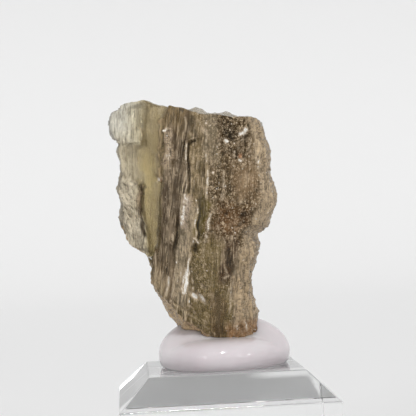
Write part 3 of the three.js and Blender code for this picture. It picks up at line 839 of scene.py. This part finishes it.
    def surface(self) -> tuple[Array, Array, Array, Array]:
        """The whole skin as a grid of loops, drawn shut at both ends.

        Returns:
            The shares s and t and the depth d of each grid point, and the faces as corner triples.
        """
        loop_s, loop_d = self.loop()
        cap = np.linspace(0, 1, self.cap_rows, endpoint=False)
        opening = np.concatenate([cap, np.ones(self.rows + 1), cap[::-1]])
        level = np.concatenate([np.zeros_like(cap), np.linspace(0, 1, self.rows + 1), np.ones_like(cap)])
        s, t = np.broadcast_arrays(loop_s[None, :], level[:, None])
        d = loop_d[None, :] * opening[:, None]
        corner = np.arange(s.size).reshape(s.shape)
        twin = np.concatenate([
            np.arange(self.columns + 1),
            np.full(self.wall_columns - 1, self.columns),
            np.arange(self.columns, -1, -1),
            np.zeros(self.wall_columns - 1, dtype=int),
        ])
        corner[0] = twin
        corner[-1] = corner[-1][0] + twin
        faces = woven(corner)
        whole = (faces != np.roll(faces, 1, axis=1)).all(axis=1)
        return s.ravel(), t.ravel(), d.ravel(), faces[whole]

    def normals(self, points: Array, faces: Array) -> Array:
        """Outward directions at the points: the sum of the face normals around each, made one long.

        Args:
            points: the mesh's points.
            faces: its triangles.

        Returns:
            One direction for each point.
        """
        a, b, c = (points[faces[:, i]] for i in range(3))
        across = np.cross(b - a, c - a)
        total = np.zeros_like(points)
        for i in range(3):
            np.add.at(total, faces[:, i], across)
        length = np.linalg.norm(total, axis=1, keepdims=True)
        return total / np.maximum(length, 1e-12)

    def skin(self, grow: float = 0.0) -> tuple[Array, Array, Array, Array, Array]:
        """The finished surface, its corners shared.

        Args:
            grow: how far it stands off the true surface, in millimetres.

        Returns:
            The shares s and t, the depth d, the points in millimetres and the faces.
        """
        s, t, d, faces = self.surface()
        used, faces = np.unique(faces, return_inverse=True)
        faces = faces.reshape(-1, 3)
        s, t, d = s[used], t[used], d[used]
        points = self.body(s, t, d)
        points = points + self.normals(points, faces) * (self.relief(s, t, d, points) + grow)[:, None]
        return s, t, d, points, faces

    def build(self) -> bpy.types.Object:
        """Makes the fragment's mesh with its tint and texture attributes.

        Returns:
            The fragment, without its material.
        """
        s, t, d, points, faces = self.skin()
        piece = mesh_piece(self.name, turned(points) * MM, faces)
        tint, *plain = self.look(s, t, d, points)
        x, z = self.layer_grain(s, t)
        store(piece, "layer", Kept.PLACE, np.stack([x, points[:, 1], z], axis=-1))
        store(piece, "tint", Kept.TINT, np.column_stack([tint, np.ones(len(tint))]))
        for label, values in zip(("clear", "grit", "streaky", "tone"), plain):
            store(piece, label, Kept.NUMBER, values)
        return piece

    def zoned(self, s: Array, t: Array) -> Array:
        """A look's row for each point of the front: each zone is laid over those before it by its cover.

        Args:
            s, t: shares of the way across and along.

        Returns:
            One row of six values for each point.
        """
        sw, tw = self.wandering(s, t, self.zone_wander)
        looks = np.tile(BASE.row(), (len(s), 1))
        for zone in ZONES:
            looks = mix(looks, zone.look.row(), zone.cover(sw, tw)[:, None])
        return looks

    def look(self, s: Array, t: Array, d: Array, points: Array) -> tuple[Array, ...]:
        """Tint, clearness, grit, streakiness and tone at the points, from the zones, ribs and chips.

        The tint is multiplied by two to the power of a streak noise and, in rough zones, a grain noise.
        Hair-thin streaks, and the painted glint specks of the rough zones, are where the noise passes a
        height. The tone also carries the ribs' and chips' painted highlights and painted shade, and a painted
        dark line along the left edge. The back is more even.

        Args:
            s, t: shares of the way across and along.
            d: -1 on the front face to 1 on the back face.
            points: the places in millimetres.

        Returns:
            The tint with three channels, then the four plain values.
        """
        to_back = rise(d, 0.0, 1.6)
        # The underside takes the UNDERSIDE look, which is partly painted light.
        under = (1 - rise(t, 0.004, 0.008)) * rise(d, -0.92, 0.1)
        looks = self.zoned(s, t)
        plain = to_back * (1 - np.maximum(looks[:, 5], looks[:, 3]))
        looks = mix(looks, BASE.row(), plain[:, None] * self.back_shares)
        looks[:, 3] = mix(looks[:, 3], 0.95, 0.8 * to_back * rise(looks[:, 3], 0.55, 0.3))
        # The top strip takes the TOPSIDE look, which is partly painted light.
        over = rise(t, self.top_from, 0.02) * rise(d, -0.85, 0.3)
        for look, cover in ((UNDERSIDE, under), (TOPSIDE, over)):
            looks = mix(looks, look.row(), cover[:, None])
        tint, (clear, grit, calm) = looks[:, :3], looks[:, 3:].T
        x, z = self.layer_grain(s, t)
        place = (x, points[:, 1], z)
        hair = self.hair.at(*place)
        grain = sum(clouds.at(*place) for clouds in self.grains)
        blotches = sum(clouds.at(*place) for clouds in self.blotches)
        busy = 1 - calm
        splinters, crumbs = self.broken(s, t, points)
        streaks = self.streak.at(*place) + 0.7 * hair + 0.9 * splinters[1]
        power = streaks * busy + (1.1 * grain + 0.9 * crumbs[1]) * grit + blotches * (1 - 0.6 * calm)
        lines = rise(hair, 0.57, 0.3) - rise(-hair, 0.65, 0.3)
        # Painted highlights: bright specks where the grain noise is high, laid on as tone in the rough zones.
        glint_specks = rise(grain, 1.175, 0.35)
        sw, tw = self.wandering(s, t, self.line_wander)
        # The rib and chip tones: their own streaks together with painted highlights and painted shade.
        drawn = np.zeros(len(s))
        for rib in RIBS:
            broken = 1 - rib.ragged * (0.5 - 1.1 * hair - 1.1 * grain)
            cover = np.exp(-((self.rib_distance(rib, sw, tw) / rib.half_width) ** 4))
            drawn += rib.tone * cover * np.clip(broken, 0, 1)
        drawn += sum(chip.tone * self.chip_share(chip, sw, tw) for chip in CHIPS)
        # Painted shade: a dark line along the front's left edge.
        drawn -= 0.5 * (1 - rise(s, 0.009, 0.012))
        tone = drawn * (1 - to_back) * (1 - under) + 0.2 * lines * busy + 0.5 * glint_specks * grit
        tint = tint * np.exp2(0.5 * np.minimum(power, 0.0))[:, None]
        tint = mix(tint, np.maximum(tint, PALE_GRAIN), np.clip(0.3 * power, 0, 0.6)[:, None])
        return tint, clear, grit, busy, np.clip(tone, -1, 1)


def turned(points: Array) -> Array:
    """Points turned with the glass about the upright through the block's middle."""
    return points @ np.array(Matrix.Rotation(GLASS_TURN, 3, "Z")).T


def woven(corner: Array) -> Array:
    """Triangles between neighbouring rows of corners, each row closed into a loop.

    Args:
        corner: the corners' indices, one row for each loop.

    Returns:
        The triangles as corner indices.
    """
    near, far = corner, np.roll(corner, -1, axis=1)
    low = np.stack([near[:-1], far[:-1], far[1:]], axis=-1).reshape(-1, 3)
    high = np.stack([near[:-1], far[1:], near[1:]], axis=-1).reshape(-1, 3)
    return np.concatenate([low, high])


def mesh_piece(name: str, points: Array, faces: Array, smooth: bool = True) -> bpy.types.Object:
    """A piece from points in metres and faces as corner indices.

    Args:
        name: the piece's name.
        points: its points.
        faces: its faces, all with the same number of corners.
        smooth: whether the faces are shaded as one curved surface.

    Returns:
        The linked object, at the origin.
    """
    mesh = bpy.data.meshes.new(name)
    corners = faces.shape[1]
    mesh.vertices.add(len(points))
    mesh.vertices.foreach_set("co", np.ascontiguousarray(points, dtype=np.float32).ravel())
    mesh.loops.add(faces.size)
    mesh.loops.foreach_set("vertex_index", np.ascontiguousarray(faces, dtype=np.int32).ravel())
    mesh.polygons.add(len(faces))
    mesh.polygons.foreach_set("loop_start", np.arange(0, faces.size, corners, dtype=np.int32))
    mesh.update(calc_edges=True)
    mesh.validate()
    mesh.polygons.foreach_set("use_smooth", np.full(len(mesh.polygons), smooth))
    piece = bpy.data.objects.new(name, mesh)
    bpy.context.collection.objects.link(piece)
    return piece


def store(piece: bpy.types.Object, label: str, kind: Kept, values: Array) -> None:
    """Keeps a value for each point on a piece's mesh.

    Args:
        piece: the piece.
        label: the attribute's name.
        kind: what is kept.
        values: one row for each point.
    """
    attribute = piece.data.attributes.new(label, kind.value[0], "POINT")
    attribute.data.foreach_set(kind.value[1], np.ascontiguousarray(values, dtype=np.float32).ravel())


@dataclass
class Putty:
    """The pressed lump of putty: a turned bulge, lifted round its crown, with a pocket for the glass."""

    name: str = "putty_lump"
    centre: tuple[float, float] = (0.2, 0.5)
    radius: float = 8.0
    foot_radius: float = 7.1
    waist: float = 1.5
    rise_front: float = 2.0
    rise_side: float = 4.7
    rise_back: float = 4.4
    rise_middle: float = 3.2
    step_at: float = -1.2
    step_width: float = 4.5
    wave: float = 0.035
    front_power: float = 0.35
    foot_power: float = 0.6
    middle_slope: float = 2.5
    lift: float = 0.02
    pocket_gap: float = 0.04
    turns: int = 144
    rings: int = 56

    def crown(self, x: Array, y: Array) -> Array:
        """How high the putty climbs: low in front of the glass, and behind by the square of the sine.

        Args:
            x, y: the place from the lump's middle, in millimetres.

        Returns:
            Heights in millimetres.
        """
        across = x**2 / (x**2 + y**2 + 1e-9)
        behind = mix(self.rise_back, self.rise_side, across)
        return mix(self.rise_front, behind, rise(y, self.step_at, self.step_width))

    def build(self, stone: Fragment, block_top: float) -> bpy.types.Object:
        """Makes the lump and takes the pocket out of it.

        The profile is a quarter turn from the foot out to the waist and another up to the crown. The
        upper one is stretched by the crown's height at its angle and is blunter in front, by a power of
        its cosine, and the radius waves three times round.

        Args:
            stone: the fragment that the pocket fits.
            block_top: height of the block's top, in millimetres.

        Returns:
            The putty piece.
        """
        lower = np.linspace(-1, 0, 12, endpoint=False)
        share = np.concatenate([lower, np.linspace(0, 1, self.rings)])[:, None]
        lift = np.sin(share * np.pi / 2)
        angle = np.linspace(0, 2 * np.pi, self.turns, endpoint=False)
        blunt = mix(1.0, self.front_power, rise(-np.sin(angle), 0.5, 0.9))
        swell = np.cos(share * np.pi / 2) ** np.where(share < 0, self.foot_power, blunt)
        inner = np.where(share < 0, self.foot_radius, 0.0)
        out = inner + (self.radius - inner) * swell
        radius = out * (1 + self.wave * np.sin(3 * angle + 0.8))
        x, y = radius * np.cos(angle), radius * np.sin(angle)
        climb = mix(self.rise_middle, self.crown(x, y), ease(out / self.radius * self.middle_slope))
        height = np.where(share < 0, self.waist * (1 + lift), self.waist + lift * climb)
        foot = block_top + self.lift
        grid = np.stack([x + self.centre[0], y + self.centre[1], foot + height], axis=-1)
        points = np.concatenate([grid[:-1].reshape(-1, 3), grid[-1, :1], [[*self.centre, foot]]])
        piece = mesh_piece(self.name, points * MM, self.faces(len(share) - 1))
        cut_pocket(piece, stone, self.pocket_gap)
        return piece

    def faces(self, rings: int) -> Array:
        """Triangles between neighbouring rings, and fans to the crown's middle and the foot's middle.

        Args:
            rings: how many rings there are.

        Returns:
            The triangles as corner indices.
        """
        corner = np.arange(rings * self.turns).reshape(rings, self.turns)
        after = np.roll(corner, -1, axis=1)
        crown = np.full(self.turns, rings * self.turns)
        top = np.stack([corner[-1], after[-1], crown], axis=-1)
        base = np.stack([after[0], corner[0], crown + 1], axis=-1)
        return np.concatenate([woven(corner), top, base])


def cut_pocket(piece: bpy.types.Object, stone: Fragment, gap: float) -> None:
    """Takes a slightly larger, coarser copy of the fragment out of a piece.

    Args:
        piece: the piece to cut.
        stone: the fragment.
        gap: clear space left around it, in millimetres.
    """
    *_, points, faces = replace(stone, columns=72, wall_columns=8, rows=96).skin(gap)
    cutter = mesh_piece("pocket", turned(points) * MM, faces)
    cut = piece.modifiers.new("pocket", "BOOLEAN")
    cut.operation = "DIFFERENCE"
    cut.solver = "MANIFOLD"
    cut.object = cutter
    shape = bpy.data.meshes.new_from_object(piece.evaluated_get(bpy.context.evaluated_depsgraph_get()))
    piece.modifiers.clear()
    piece.data = shape
    bpy.data.objects.remove(cutter)


@dataclass
class Block:
    """The clear square block with its bevelled top."""

    name: str = "clear_block"
    width: float = 25.4
    height: float = 12.7
    bevel_run: float = 3.6
    bevel_drop: float = 3.5
    edge_radius: float = 0.16

    def build(self) -> bpy.types.Object:
        """Makes the block from square rings carried up the side and over the bevel, with eased edges.

        Returns:
            The block, without its material.
        """
        half = self.width / 2
        rings = ((half, 0.0), (half, self.height - self.bevel_drop), (half - self.bevel_run, self.height))
        signs = np.array(((-1, -1), (1, -1), (1, 1), (-1, 1)))
        points = np.concatenate([
            np.column_stack([signs * reach, np.full(4, level)]) for reach, level in rings
        ])
        walls = [
            (4 * ring + i, 4 * ring + (i + 1) % 4, 4 * ring + 4 + (i + 1) % 4, 4 * ring + 4 + i)
            for ring in range(2)
            for i in range(4)
        ]
        faces = np.array([*walls, (3, 2, 1, 0), (8, 9, 10, 11)])
        piece = mesh_piece(self.name, points * MM, faces, smooth=False)
        easing = piece.modifiers.new("eased_edges", "BEVEL")
        easing.width = self.edge_radius * MM
        easing.segments = 3
        easing.limit_method = "ANGLE"
        easing.harden_normals = True
        return piece


class Wire:
    """A value on its way through a material. Arithmetic on it adds the nodes that work it out."""

    def __init__(self, bench: "Bench", socket: bpy.types.NodeSocket) -> None:
        """Wraps a socket of the bench's node tree."""
        self.bench = bench
        self.socket = socket

    def __add__(self, other: "Wire | float") -> "Wire":
        """The sum."""
        return self.bench.maths("ADD", self, other)

    __radd__ = __add__

    def __mul__(self, other: "Wire | float") -> "Wire":
        """The product."""
        return self.bench.maths("MULTIPLY", self, other)

    __rmul__ = __mul__

    def __sub__(self, other: "Wire | float") -> "Wire":
        """The difference."""
        return self.bench.maths("SUBTRACT", self, other)

    def __rsub__(self, other: float) -> "Wire":
        """The difference from a number."""
        return self.bench.maths("SUBTRACT", other, self)

    def __truediv__(self, other: "Wire | float") -> "Wire":
        """The quotient."""
        return self.bench.maths("DIVIDE", self, other)

    def __rpow__(self, other: float) -> "Wire":
        """A number to the power of the value."""
        return self.bench.maths("POWER", other, self)

    def held(self) -> "Wire":
        """The value held between 0 and 1."""
        return self.bench.maths("ADD", self, 0.0, clamp=True)

    def step(self, low: float, high: float) -> "Wire":
        """A straight climb from 0 at low to 1 at high, held at both ends."""
        return ((self - low) / (high - low)).held()


class Bench:
    """The node tree of one material, and the few ways in which nodes are added to it."""

    def __init__(self, name: str) -> None:
        """Makes an empty material."""
        self.material = bpy.data.materials.new(name)
        self.material.use_nodes = True
        self.tree = self.material.node_tree
        self.tree.nodes.clear()

    def node(self, kind: str, settings: dict | None = None, inputs: dict | None = None) -> bpy.types.Node:
        """Adds a node.

        Args:
            kind: the node's type.
            settings: its own settings, set before the sockets.
            inputs: values or wires for its sockets, by name or index.

        Returns:
            The node.
        """
        added = self.tree.nodes.new(kind)
        for label, value in (settings or {}).items():
            setattr(added, label, value)
        for label, value in (inputs or {}).items():
            if isinstance(value, Wire):
                self.tree.links.new(value.socket, added.inputs[label])
            else:
                added.inputs[label].default_value = value
        return added

    def maths(self, operation: str, *values: Wire | float, clamp: bool = False) -> Wire:
        """A Math node's result."""
        settings = {"operation": operation, "use_clamp": clamp}
        return Wire(self, self.node("ShaderNodeMath", settings, dict(enumerate(values))).outputs[0])

    def vectors(self, operation: str, inputs: dict) -> Wire:
        """A Vector Math node's result."""
        return Wire(self, self.node("ShaderNodeVectorMath", {"operation": operation}, inputs).outputs[0])

    def attribute(self, label: str, output: str = "Fac") -> Wire:
        """A value kept on the piece's points."""
        node = self.node("ShaderNodeAttribute", {"attribute_name": label})
        return Wire(self, node.outputs[output])

    def place(self) -> Wire:
        """The place on the piece, in metres."""
        return Wire(self, self.node("ShaderNodeTexCoord").outputs["Object"])

    def scaled(self, vector: Wire, by: Triple) -> Wire:
        """A vector with each axis stretched by its own number."""
        return self.vectors("MULTIPLY", {0: vector, 1: by})

    def noise(self, vector: Wire, scale: float, detail: float = 3.0, roughness: float = 0.5) -> Wire:
        """Cloudy noise around 0.5."""
        inputs = {"Vector": vector, "Scale": scale, "Detail": detail, "Roughness": roughness}
        return Wire(self, self.node("ShaderNodeTexNoise", None, inputs).outputs[0])

    def shifted(self, vector: Wire, by: Wire, amount: float) -> Wire:
        """A vector moved by a value times an amount."""
        return self.vectors("ADD", {0: vector, 1: by * amount})

    def cells(self, vector: Wire, scale: float) -> tuple[Wire, Wire]:
        """Crisp cells around scattered points: each one's random value, and the distance from its point."""
        node = self.node("ShaderNodeTexVoronoi", None, {"Vector": vector, "Scale": scale})
        return Wire(self, node.outputs["Color"]), Wire(self, node.outputs["Distance"])

    def borders(self, vector: Wire, scale: float, width: float = 0.12) -> Wire:
        """Lines between such cells: 1 on a border, falling to 0 at a width from it."""
        inputs = {"Vector": vector, "Scale": scale}
        node = self.node("ShaderNodeTexVoronoi", {"feature": "DISTANCE_TO_EDGE"}, inputs)
        return (width - Wire(self, node.outputs["Distance"])).step(0.0, width)

    def sparks(self, vector: Wire, scale: float, above: float) -> Wire:
        """Scattered small dots: 1 in the middle of the few cells whose random value is above a height."""
        value, distance = self.cells(vector, scale)
        return value.step(above, above + 0.05) * (1.2 - distance * 3.0).held()

    def blend(
        self, share: Wire | float, low: Wire | Colour, high: Wire | Colour, how: Overlay = Overlay.PLAIN
    ) -> Wire:
        """A colour between two others, or the second laid over the first."""
        low, high = (side if isinstance(side, Wire) else (*side, 1.0) for side in (low, high))
        settings = {"data_type": "RGBA", "blend_type": how.value}
        return Wire(self, self.node("ShaderNodeMix", settings, {0: share, 6: low, 7: high}).outputs[2])

    def brightened(self, colour: Wire, by: Wire) -> Wire:
        """A colour times a value."""
        return self.vectors("SCALE", {0: colour, "Scale": by})

    def bump(self, height: Wire, strength: float, distance: float) -> Wire:
        """A surface direction tilted by a height."""
        inputs = {"Height": height, "Strength": strength, "Distance": distance}
        return Wire(self, self.node("ShaderNodeBump", None, inputs).outputs[0])

    def surface(self, inputs: dict) -> Wire:
        """A Principled surface."""
        return Wire(self, self.node("ShaderNodeBsdfPrincipled", None, inputs).outputs[0])

    def mixed(self, share: Wire, low: Wire, high: Wire) -> Wire:
        """Two surfaces mixed."""
        return Wire(self, self.node("ShaderNodeMixShader", None, {0: share, 1: low, 2: high}).outputs[0])

    def finish(self, surface: Wire, volume: Wire | None = None) -> bpy.types.Material:
        """Ends the tree in its output and gives the material."""
        sockets = {"Surface": surface}
        if volume is not None:
            sockets["Volume"] = volume
        self.node("ShaderNodeOutputMaterial", None, sockets)
        return self.material


@dataclass(frozen=True)
class StreakyGlass:
    """Cloudy olive-brown glass with streaks along its layers, frosted where it is broken."""

    ior: float = 1.5
    absorbing: Colour = (0.74, 0.62, 0.3)
    density: float = 70.0
    sparkle: float = 0.3
    shine: Colour = (1.0, 0.9, 0.72)
    # The warm and white colours lighten pale marks and also paint the glints.
    warm: Colour = (0.55, 0.44, 0.31)
    white: Colour = (0.97, 0.94, 0.88)
    pale: Colour = (0.66, 0.52, 0.35)
    # The last colour darkens cracks, pits and dark threads, and paints shade in grooves and hollows where the
    # tone is negative.
    black_and_shade: Colour = (0.016, 0.011, 0.006)

    def make(self) -> bpy.types.Material:
        """Builds the material from the piece's layer place and its tint, clear, grit and tone values.

        Returns:
            The material.
        """
        b = Bench("streaky_glass")
        layer = b.attribute("layer", "Vector")
        grit, tone, streaky, clearness = map(b.attribute, ("grit", "tone", "streaky", "clear"))
        hair = b.noise(b.scaled(layer, (9.0, 1.8, 0.6)), 1.0, 2.0, 0.6)
        speck = b.noise(b.scaled(layer, (6.2, 5.8, 5.2)), 1.0, 2.0, 0.7)
        shifted = b.shifted(layer, b.noise(layer, 1.5, 2.0), 0.5)
        slivers = b.scaled(layer, (4.8, 1.6, 0.5))
        sliver, _ = b.cells(slivers, 1.0)
        # Painted highlights: thin bright threads along the layers, where splinter edges catch the light.
        glint_thread = b.noise(b.scaled(layer, (13.0, 2.0, 0.3)), 1.0, 1.0).step(0.64, 0.74)
        dark_thread = b.noise(b.scaled(layer, (-11.0, 2.0, 0.35)), 1.0, 1.0).step(0.66, 0.76)
        crack = b.borders(slivers, 0.55)
        gap = b.borders(shifted, 2.2)
        crumb, _ = b.cells(b.scaled(shifted, (3.4, 3.2, 3.0)), 1.0)
        patch = b.noise(b.scaled(layer, (0.9, 0.6, 0.3)), 1.0, 1.0).step(0.38, 0.6)
        streaky = streaky * (0.35 + patch * 0.85)
        grit = grit * (1.15 - patch * 0.5)
        long_part = (hair - 0.5) * 11.0 + (sliver - 0.5) * 1.5 - crack
        round_part = (speck - 0.5) * 11.0 + (crumb - 0.5) * 2.5 - gap
        power = streaky * long_part + grit * round_part
        # Painted highlights: short bright dashes along the streaks and bright dots in the rough zones, laid on
        # as glints.
        glint_dash = b.sparks(b.scaled(layer, (2.4, 1.2, 0.6)), 2.2, 0.88) * 1.6
        glint = b.sparks(layer, 4.0, 0.8) * (0.3 + grit * 1.8) + (glint_thread * 0.6 + glint_dash) * streaky
        murky = (0.6 - clearness * 0.7).held()
        pit = b.sparks(b.scaled(layer, (-1.0, 1.0, 1.0)), 3.6, 0.86) * (0.2 + grit)
        pit = pit + dark_thread * streaky * murky
        below = (power * -1.0).step(-0.001, 0.001)
        colour = b.brightened(b.attribute("tint", "Color"), 2.0 ** (power * 0.6 * below))
        colour = b.blend((power * 0.55).held(), colour, self.pale, Overlay.LIGHTER)
        # Darkening by pits, dark threads and negative tone: partly dark cracks, partly painted shade in
        # grooves and hollows.
        colour = b.blend((pit - tone).held(), colour, self.black_and_shade)
        # The tone together with the painted glints; warm then white lighten it, partly pale marks and partly
        # painted highlights.
        ragged = (tone + power * 0.3 * tone + glint).held()
        colour = b.blend(ragged.step(0.0, 0.6), colour, self.warm, Overlay.LIGHTER)
        colour = b.blend(ragged.step(0.6, 1.0), colour, self.white)
        long_height = streaky * (hair * 0.5 + sliver * 0.2 - crack * 0.2)
        bump = b.bump(long_height + grit * (speck * 0.6 + crumb * 0.3 - gap * 0.2), 1.0, 0.0003)
        rough = (0.14 + (speck - 0.5) * 0.6 + tone.held() * 0.2).held()
        cloudy = b.surface({
            "Base Color": colour, "Roughness": rough, "IOR": self.ior, "Specular IOR Level": self.sparkle,
            "Specular Tint": (*self.shine, 1.0), "Normal": bump,
        })
        clear = b.surface({
            "Base Color": b.blend(0.15, colour, (1.0, 0.9, 0.65)), "Roughness": 0.2, "IOR": self.ior,
            "Transmission Weight": 1.0, "Normal": bump,
        })
        share = (clearness * (1.0 - tone.held())).held()
        inputs = {"Color": (*self.absorbing, 1.0), "Density": self.density}
        volume = b.node("ShaderNodeVolumeAbsorption", None, inputs)
        return b.finish(b.mixed(share, cloudy, clear), Wire(b, volume.outputs[0]))


@dataclass(frozen=True)
class PalePutty:
    """Off-white, faintly lilac putty with a soft gloss."""

    colour: Colour = (0.65, 0.61, 0.625)
    deep: Colour = (0.6, 0.55, 0.57)

    def make(self) -> bpy.types.Material:
        """Builds the putty's material with faint clouding and shallow press marks.

        Returns:
            The material.
        """
        b = Bench("pale_putty")
        place = b.place()
        cloud = b.noise(place, 220.0, 3.0)
        press = b.noise(place, 500.0, 2.0)
        colour = b.blend(cloud.step(0.35, 0.7), self.deep, self.colour)
        surface = b.surface({
            "Base Color": colour,
            "Roughness": (0.05 + (press - 0.5) * 0.06).held(),
            "IOR": 1.48,
            "Subsurface Weight": 0.7,
            "Subsurface Radius": (1.0, 0.85, 0.9),
            "Subsurface Scale": 0.004,
            "Normal": b.bump(press, 0.06, 0.0004),
        })
        return b.finish(surface)


@dataclass(frozen=True)
class ClearAcrylic:
    """Polished clear acrylic."""

    ior: float = 1.49

    def make(self) -> bpy.types.Material:
        """Builds the clear material with the faintest wear in its polish.

        Returns:
            The material.
        """
        b = Bench("clear_acrylic")
        wear = b.noise(b.place(), 900.0, 4.0, 0.6)
        surface = b.surface({
            "Base Color": (0.985, 0.99, 0.99, 1.0),
            "Roughness": ((wear - 0.5) * 0.06 + 0.02).held(),
            "IOR": self.ior,
            "Transmission Weight": 1.0,
        })
        return b.finish(surface)


@dataclass(frozen=True)
class PalePaper:
    """The matt pale floor that runs up into a backdrop."""

    colour: Colour = (0.825, 0.825, 0.825)

    def make(self) -> bpy.types.Material:
        """Builds the paper's material."""
        b = Bench("pale_paper")
        return b.finish(b.surface({"Base Color": (*self.colour, 1.0), "Roughness": 0.9}))


@dataclass
class Studio:
    """Plain floor and backdrop, soft lights, and the camera of the photograph."""

    picture_width: float = 416.0
    focal_pixels: float = 1384.0
    sensor: float = 36.0
    camera_at: tuple[float, float, float] = (-0.86, -168.5, 30.96)
    camera_pitch: float = math.radians(0.316)
    camera_roll: float = math.radians(2.61)
    floor_half: float = 3000.0
    sweep_start: float = 350.0
    sweep_radius: float = 250.0
    backdrop_top: float = 900.0
    ambient: float = 0.36
    lamp_side: float = 5.0
    lamp_height: float = 58.0
    lamp_strength: float = 1.6
    lamp_size: float = 6.0
    ring_side: float = 44.0
    ring_height: float = 15.0
    ring_corners: int = 48
    ring_aim: float = 20.0
    ring_distance: float = 600.0
    ring_radius: float = 140.0
    ring_width: float = 40.0
    ring_glow: float = 7.5

    def camera(self) -> bpy.types.Object:
        """Places the camera: rolled and pitched about its own axes, then turned with the glass.

        Returns:
            The camera.
        """
        lens = bpy.data.cameras.new("camera")
        lens.sensor_width = self.sensor
        lens.lens = self.sensor * self.focal_pixels / self.picture_width
        lens.clip_start = 0.005
        lens.clip_end = 20.0
        camera = bpy.data.objects.new("camera", lens)
        bpy.context.collection.objects.link(camera)
        ahead = Vector((0, math.cos(self.camera_pitch), math.sin(self.camera_pitch)))
        level = Vector((1, 0, 0))
        up = level.cross(ahead)
        right = level * math.cos(self.camera_roll) - up * math.sin(self.camera_roll)
        over = level * math.sin(self.camera_roll) + up * math.cos(self.camera_roll)
        pose = Matrix((right, over, -ahead)).transposed().to_4x4()
        pose.translation = Vector(self.camera_at) * MM
        camera.matrix_world = Matrix.Rotation(GLASS_TURN, 4, "Z") @ pose
        bpy.context.scene.camera = camera
        return camera

    def floor(self) -> bpy.types.Object:
        """Makes the floor: straight, then a quarter circle up into an upright backdrop.

        Returns:
            The floor.
        """
        turn = np.linspace(0, np.pi / 2, 24)
        y = np.concatenate([[-self.floor_half], self.sweep_start + self.sweep_radius * np.sin(turn), [0.0]])
        z = np.concatenate([[0.0], self.sweep_radius * (1 - np.cos(turn)), [self.backdrop_top]])
        y[-1] = y[-2]
        x = np.array([-self.floor_half, self.floor_half])
        grid = np.stack(np.broadcast_arrays(x[None, :], y[:, None], z[:, None] - 0.05), axis=-1)
        near = np.arange(len(y) - 1) * 2
        faces = np.stack([near, near + 1, near + 3, near + 2], axis=-1)
        floor = mesh_piece("pale_floor", grid.reshape(-1, 3) * MM, faces)
        floor.data.materials.append(PalePaper().make())
        return floor

    def lamp(self) -> None:
        """Adds a far round lamp, high in front."""
        light = bpy.data.lights.new("high_lamp", "SUN")
        light.energy = self.lamp_strength
        light.angle = math.radians(self.lamp_size)
        lamp = bpy.data.objects.new("high_lamp", light)
        bpy.context.collection.objects.link(lamp)
        lamp.matrix_world = self.turned_towards(self.lamp_side, self.lamp_height)

    def turned_towards(self, side: float, height: float) -> Matrix:
        """A pose whose Z axis points from the specimen to a place to the side and above, in degrees."""
        turn = Matrix.Rotation(math.radians(side), 4, "Z")
        return turn @ Matrix.Rotation(math.radians(90 - height), 4, "X")

    def ring(self, name: str, side: float) -> None:
        """Adds a glowing flat ring that faces the specimen from the front.

        Args:
            name: the ring's name.
            side: how far it stands to the side, in degrees.
        """
        angle = np.linspace(0, 2 * np.pi, self.ring_corners, endpoint=False)
        rims = [
            np.column_stack([reach * np.cos(angle), reach * np.sin(angle), 0 * angle + self.ring_distance])
            for reach in (self.ring_radius - self.ring_width, self.ring_radius)
        ]
        near = np.arange(self.ring_corners)
        after = np.roll(near, -1)
        pose = np.array(self.turned_towards(side, self.ring_height))[:3, :3]
        points = np.concatenate(rims) @ pose.T + np.array((0, 0, self.ring_aim))
        faces = np.stack([near, near + self.ring_corners, after + self.ring_corners, after], axis=-1)
        ring = mesh_piece(name, points * MM, faces, smooth=False)
        glow = Bench(name)
        emission = glow.node("ShaderNodeEmission", None, {"Color": (1, 1, 1, 1), "Strength": self.ring_glow})
        ring.data.materials.append(glow.finish(Wire(glow, emission.outputs[0])))

    def light(self) -> None:
        """Sets the pale surroundings and the lamps."""
        world = bpy.data.worlds.new("surroundings")
        world.use_nodes = True
        background = world.node_tree.nodes["Background"]
        background.inputs["Color"].default_value = (1.0, 1.0, 1.0, 1.0)
        background.inputs["Strength"].default_value = self.ambient
        bpy.context.scene.world = world
        self.lamp()
        self.ring("left_ring", -self.ring_side)
        self.ring("right_ring", self.ring_side)
        bpy.context.scene.view_settings.view_transform = "Standard"
        bpy.context.scene.view_settings.look = "None"


@dataclass
class Specimen:
    """The fragment, its putty and its block, dressed and riding on the part's one body."""

    fragment: Fragment = field(default_factory=Fragment)
    putty: Putty = field(default_factory=Putty)
    block: Block = field(default_factory=Block)

    def build(self) -> None:
        """Builds the three pieces and hides the part's node that each one stands in for."""
        self.place(self.fragment.build(), "impact_glass", "streaky_glass", StreakyGlass().make())
        lump = self.putty.build(self.fragment, self.block.height)
        self.place(lump, "mounting_putty", "putty", PalePutty().make())
        self.place(self.block.build(), "acrylic_base", "clear_acrylic", ClearAcrylic().make())

    def place(self, piece: bpy.types.Object, node: str, slot: str, finish: bpy.types.Material) -> None:
        """Dresses a piece, sets it on the body and puts it in a node's stead.

        Args:
            piece: the piece.
            node: the node that it stands for.
            slot: not used.
            finish: its material.
        """
        piece.data.materials.clear()
        piece.data.materials.append(finish)
        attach(piece, BODY)
        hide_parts(node)
        log.info("%s: %d faces, in place of %s", piece.name, len(piece.data.polygons), node)


def main() -> None:
    """Builds the studio and the specimen in order."""
    logging.basicConfig(level=logging.INFO, format="%(name)s: %(message)s")
    studio = Studio()
    studio.camera()
    studio.floor()
    studio.light()
    Specimen().build()


if __name__ == "__main__":
    main()
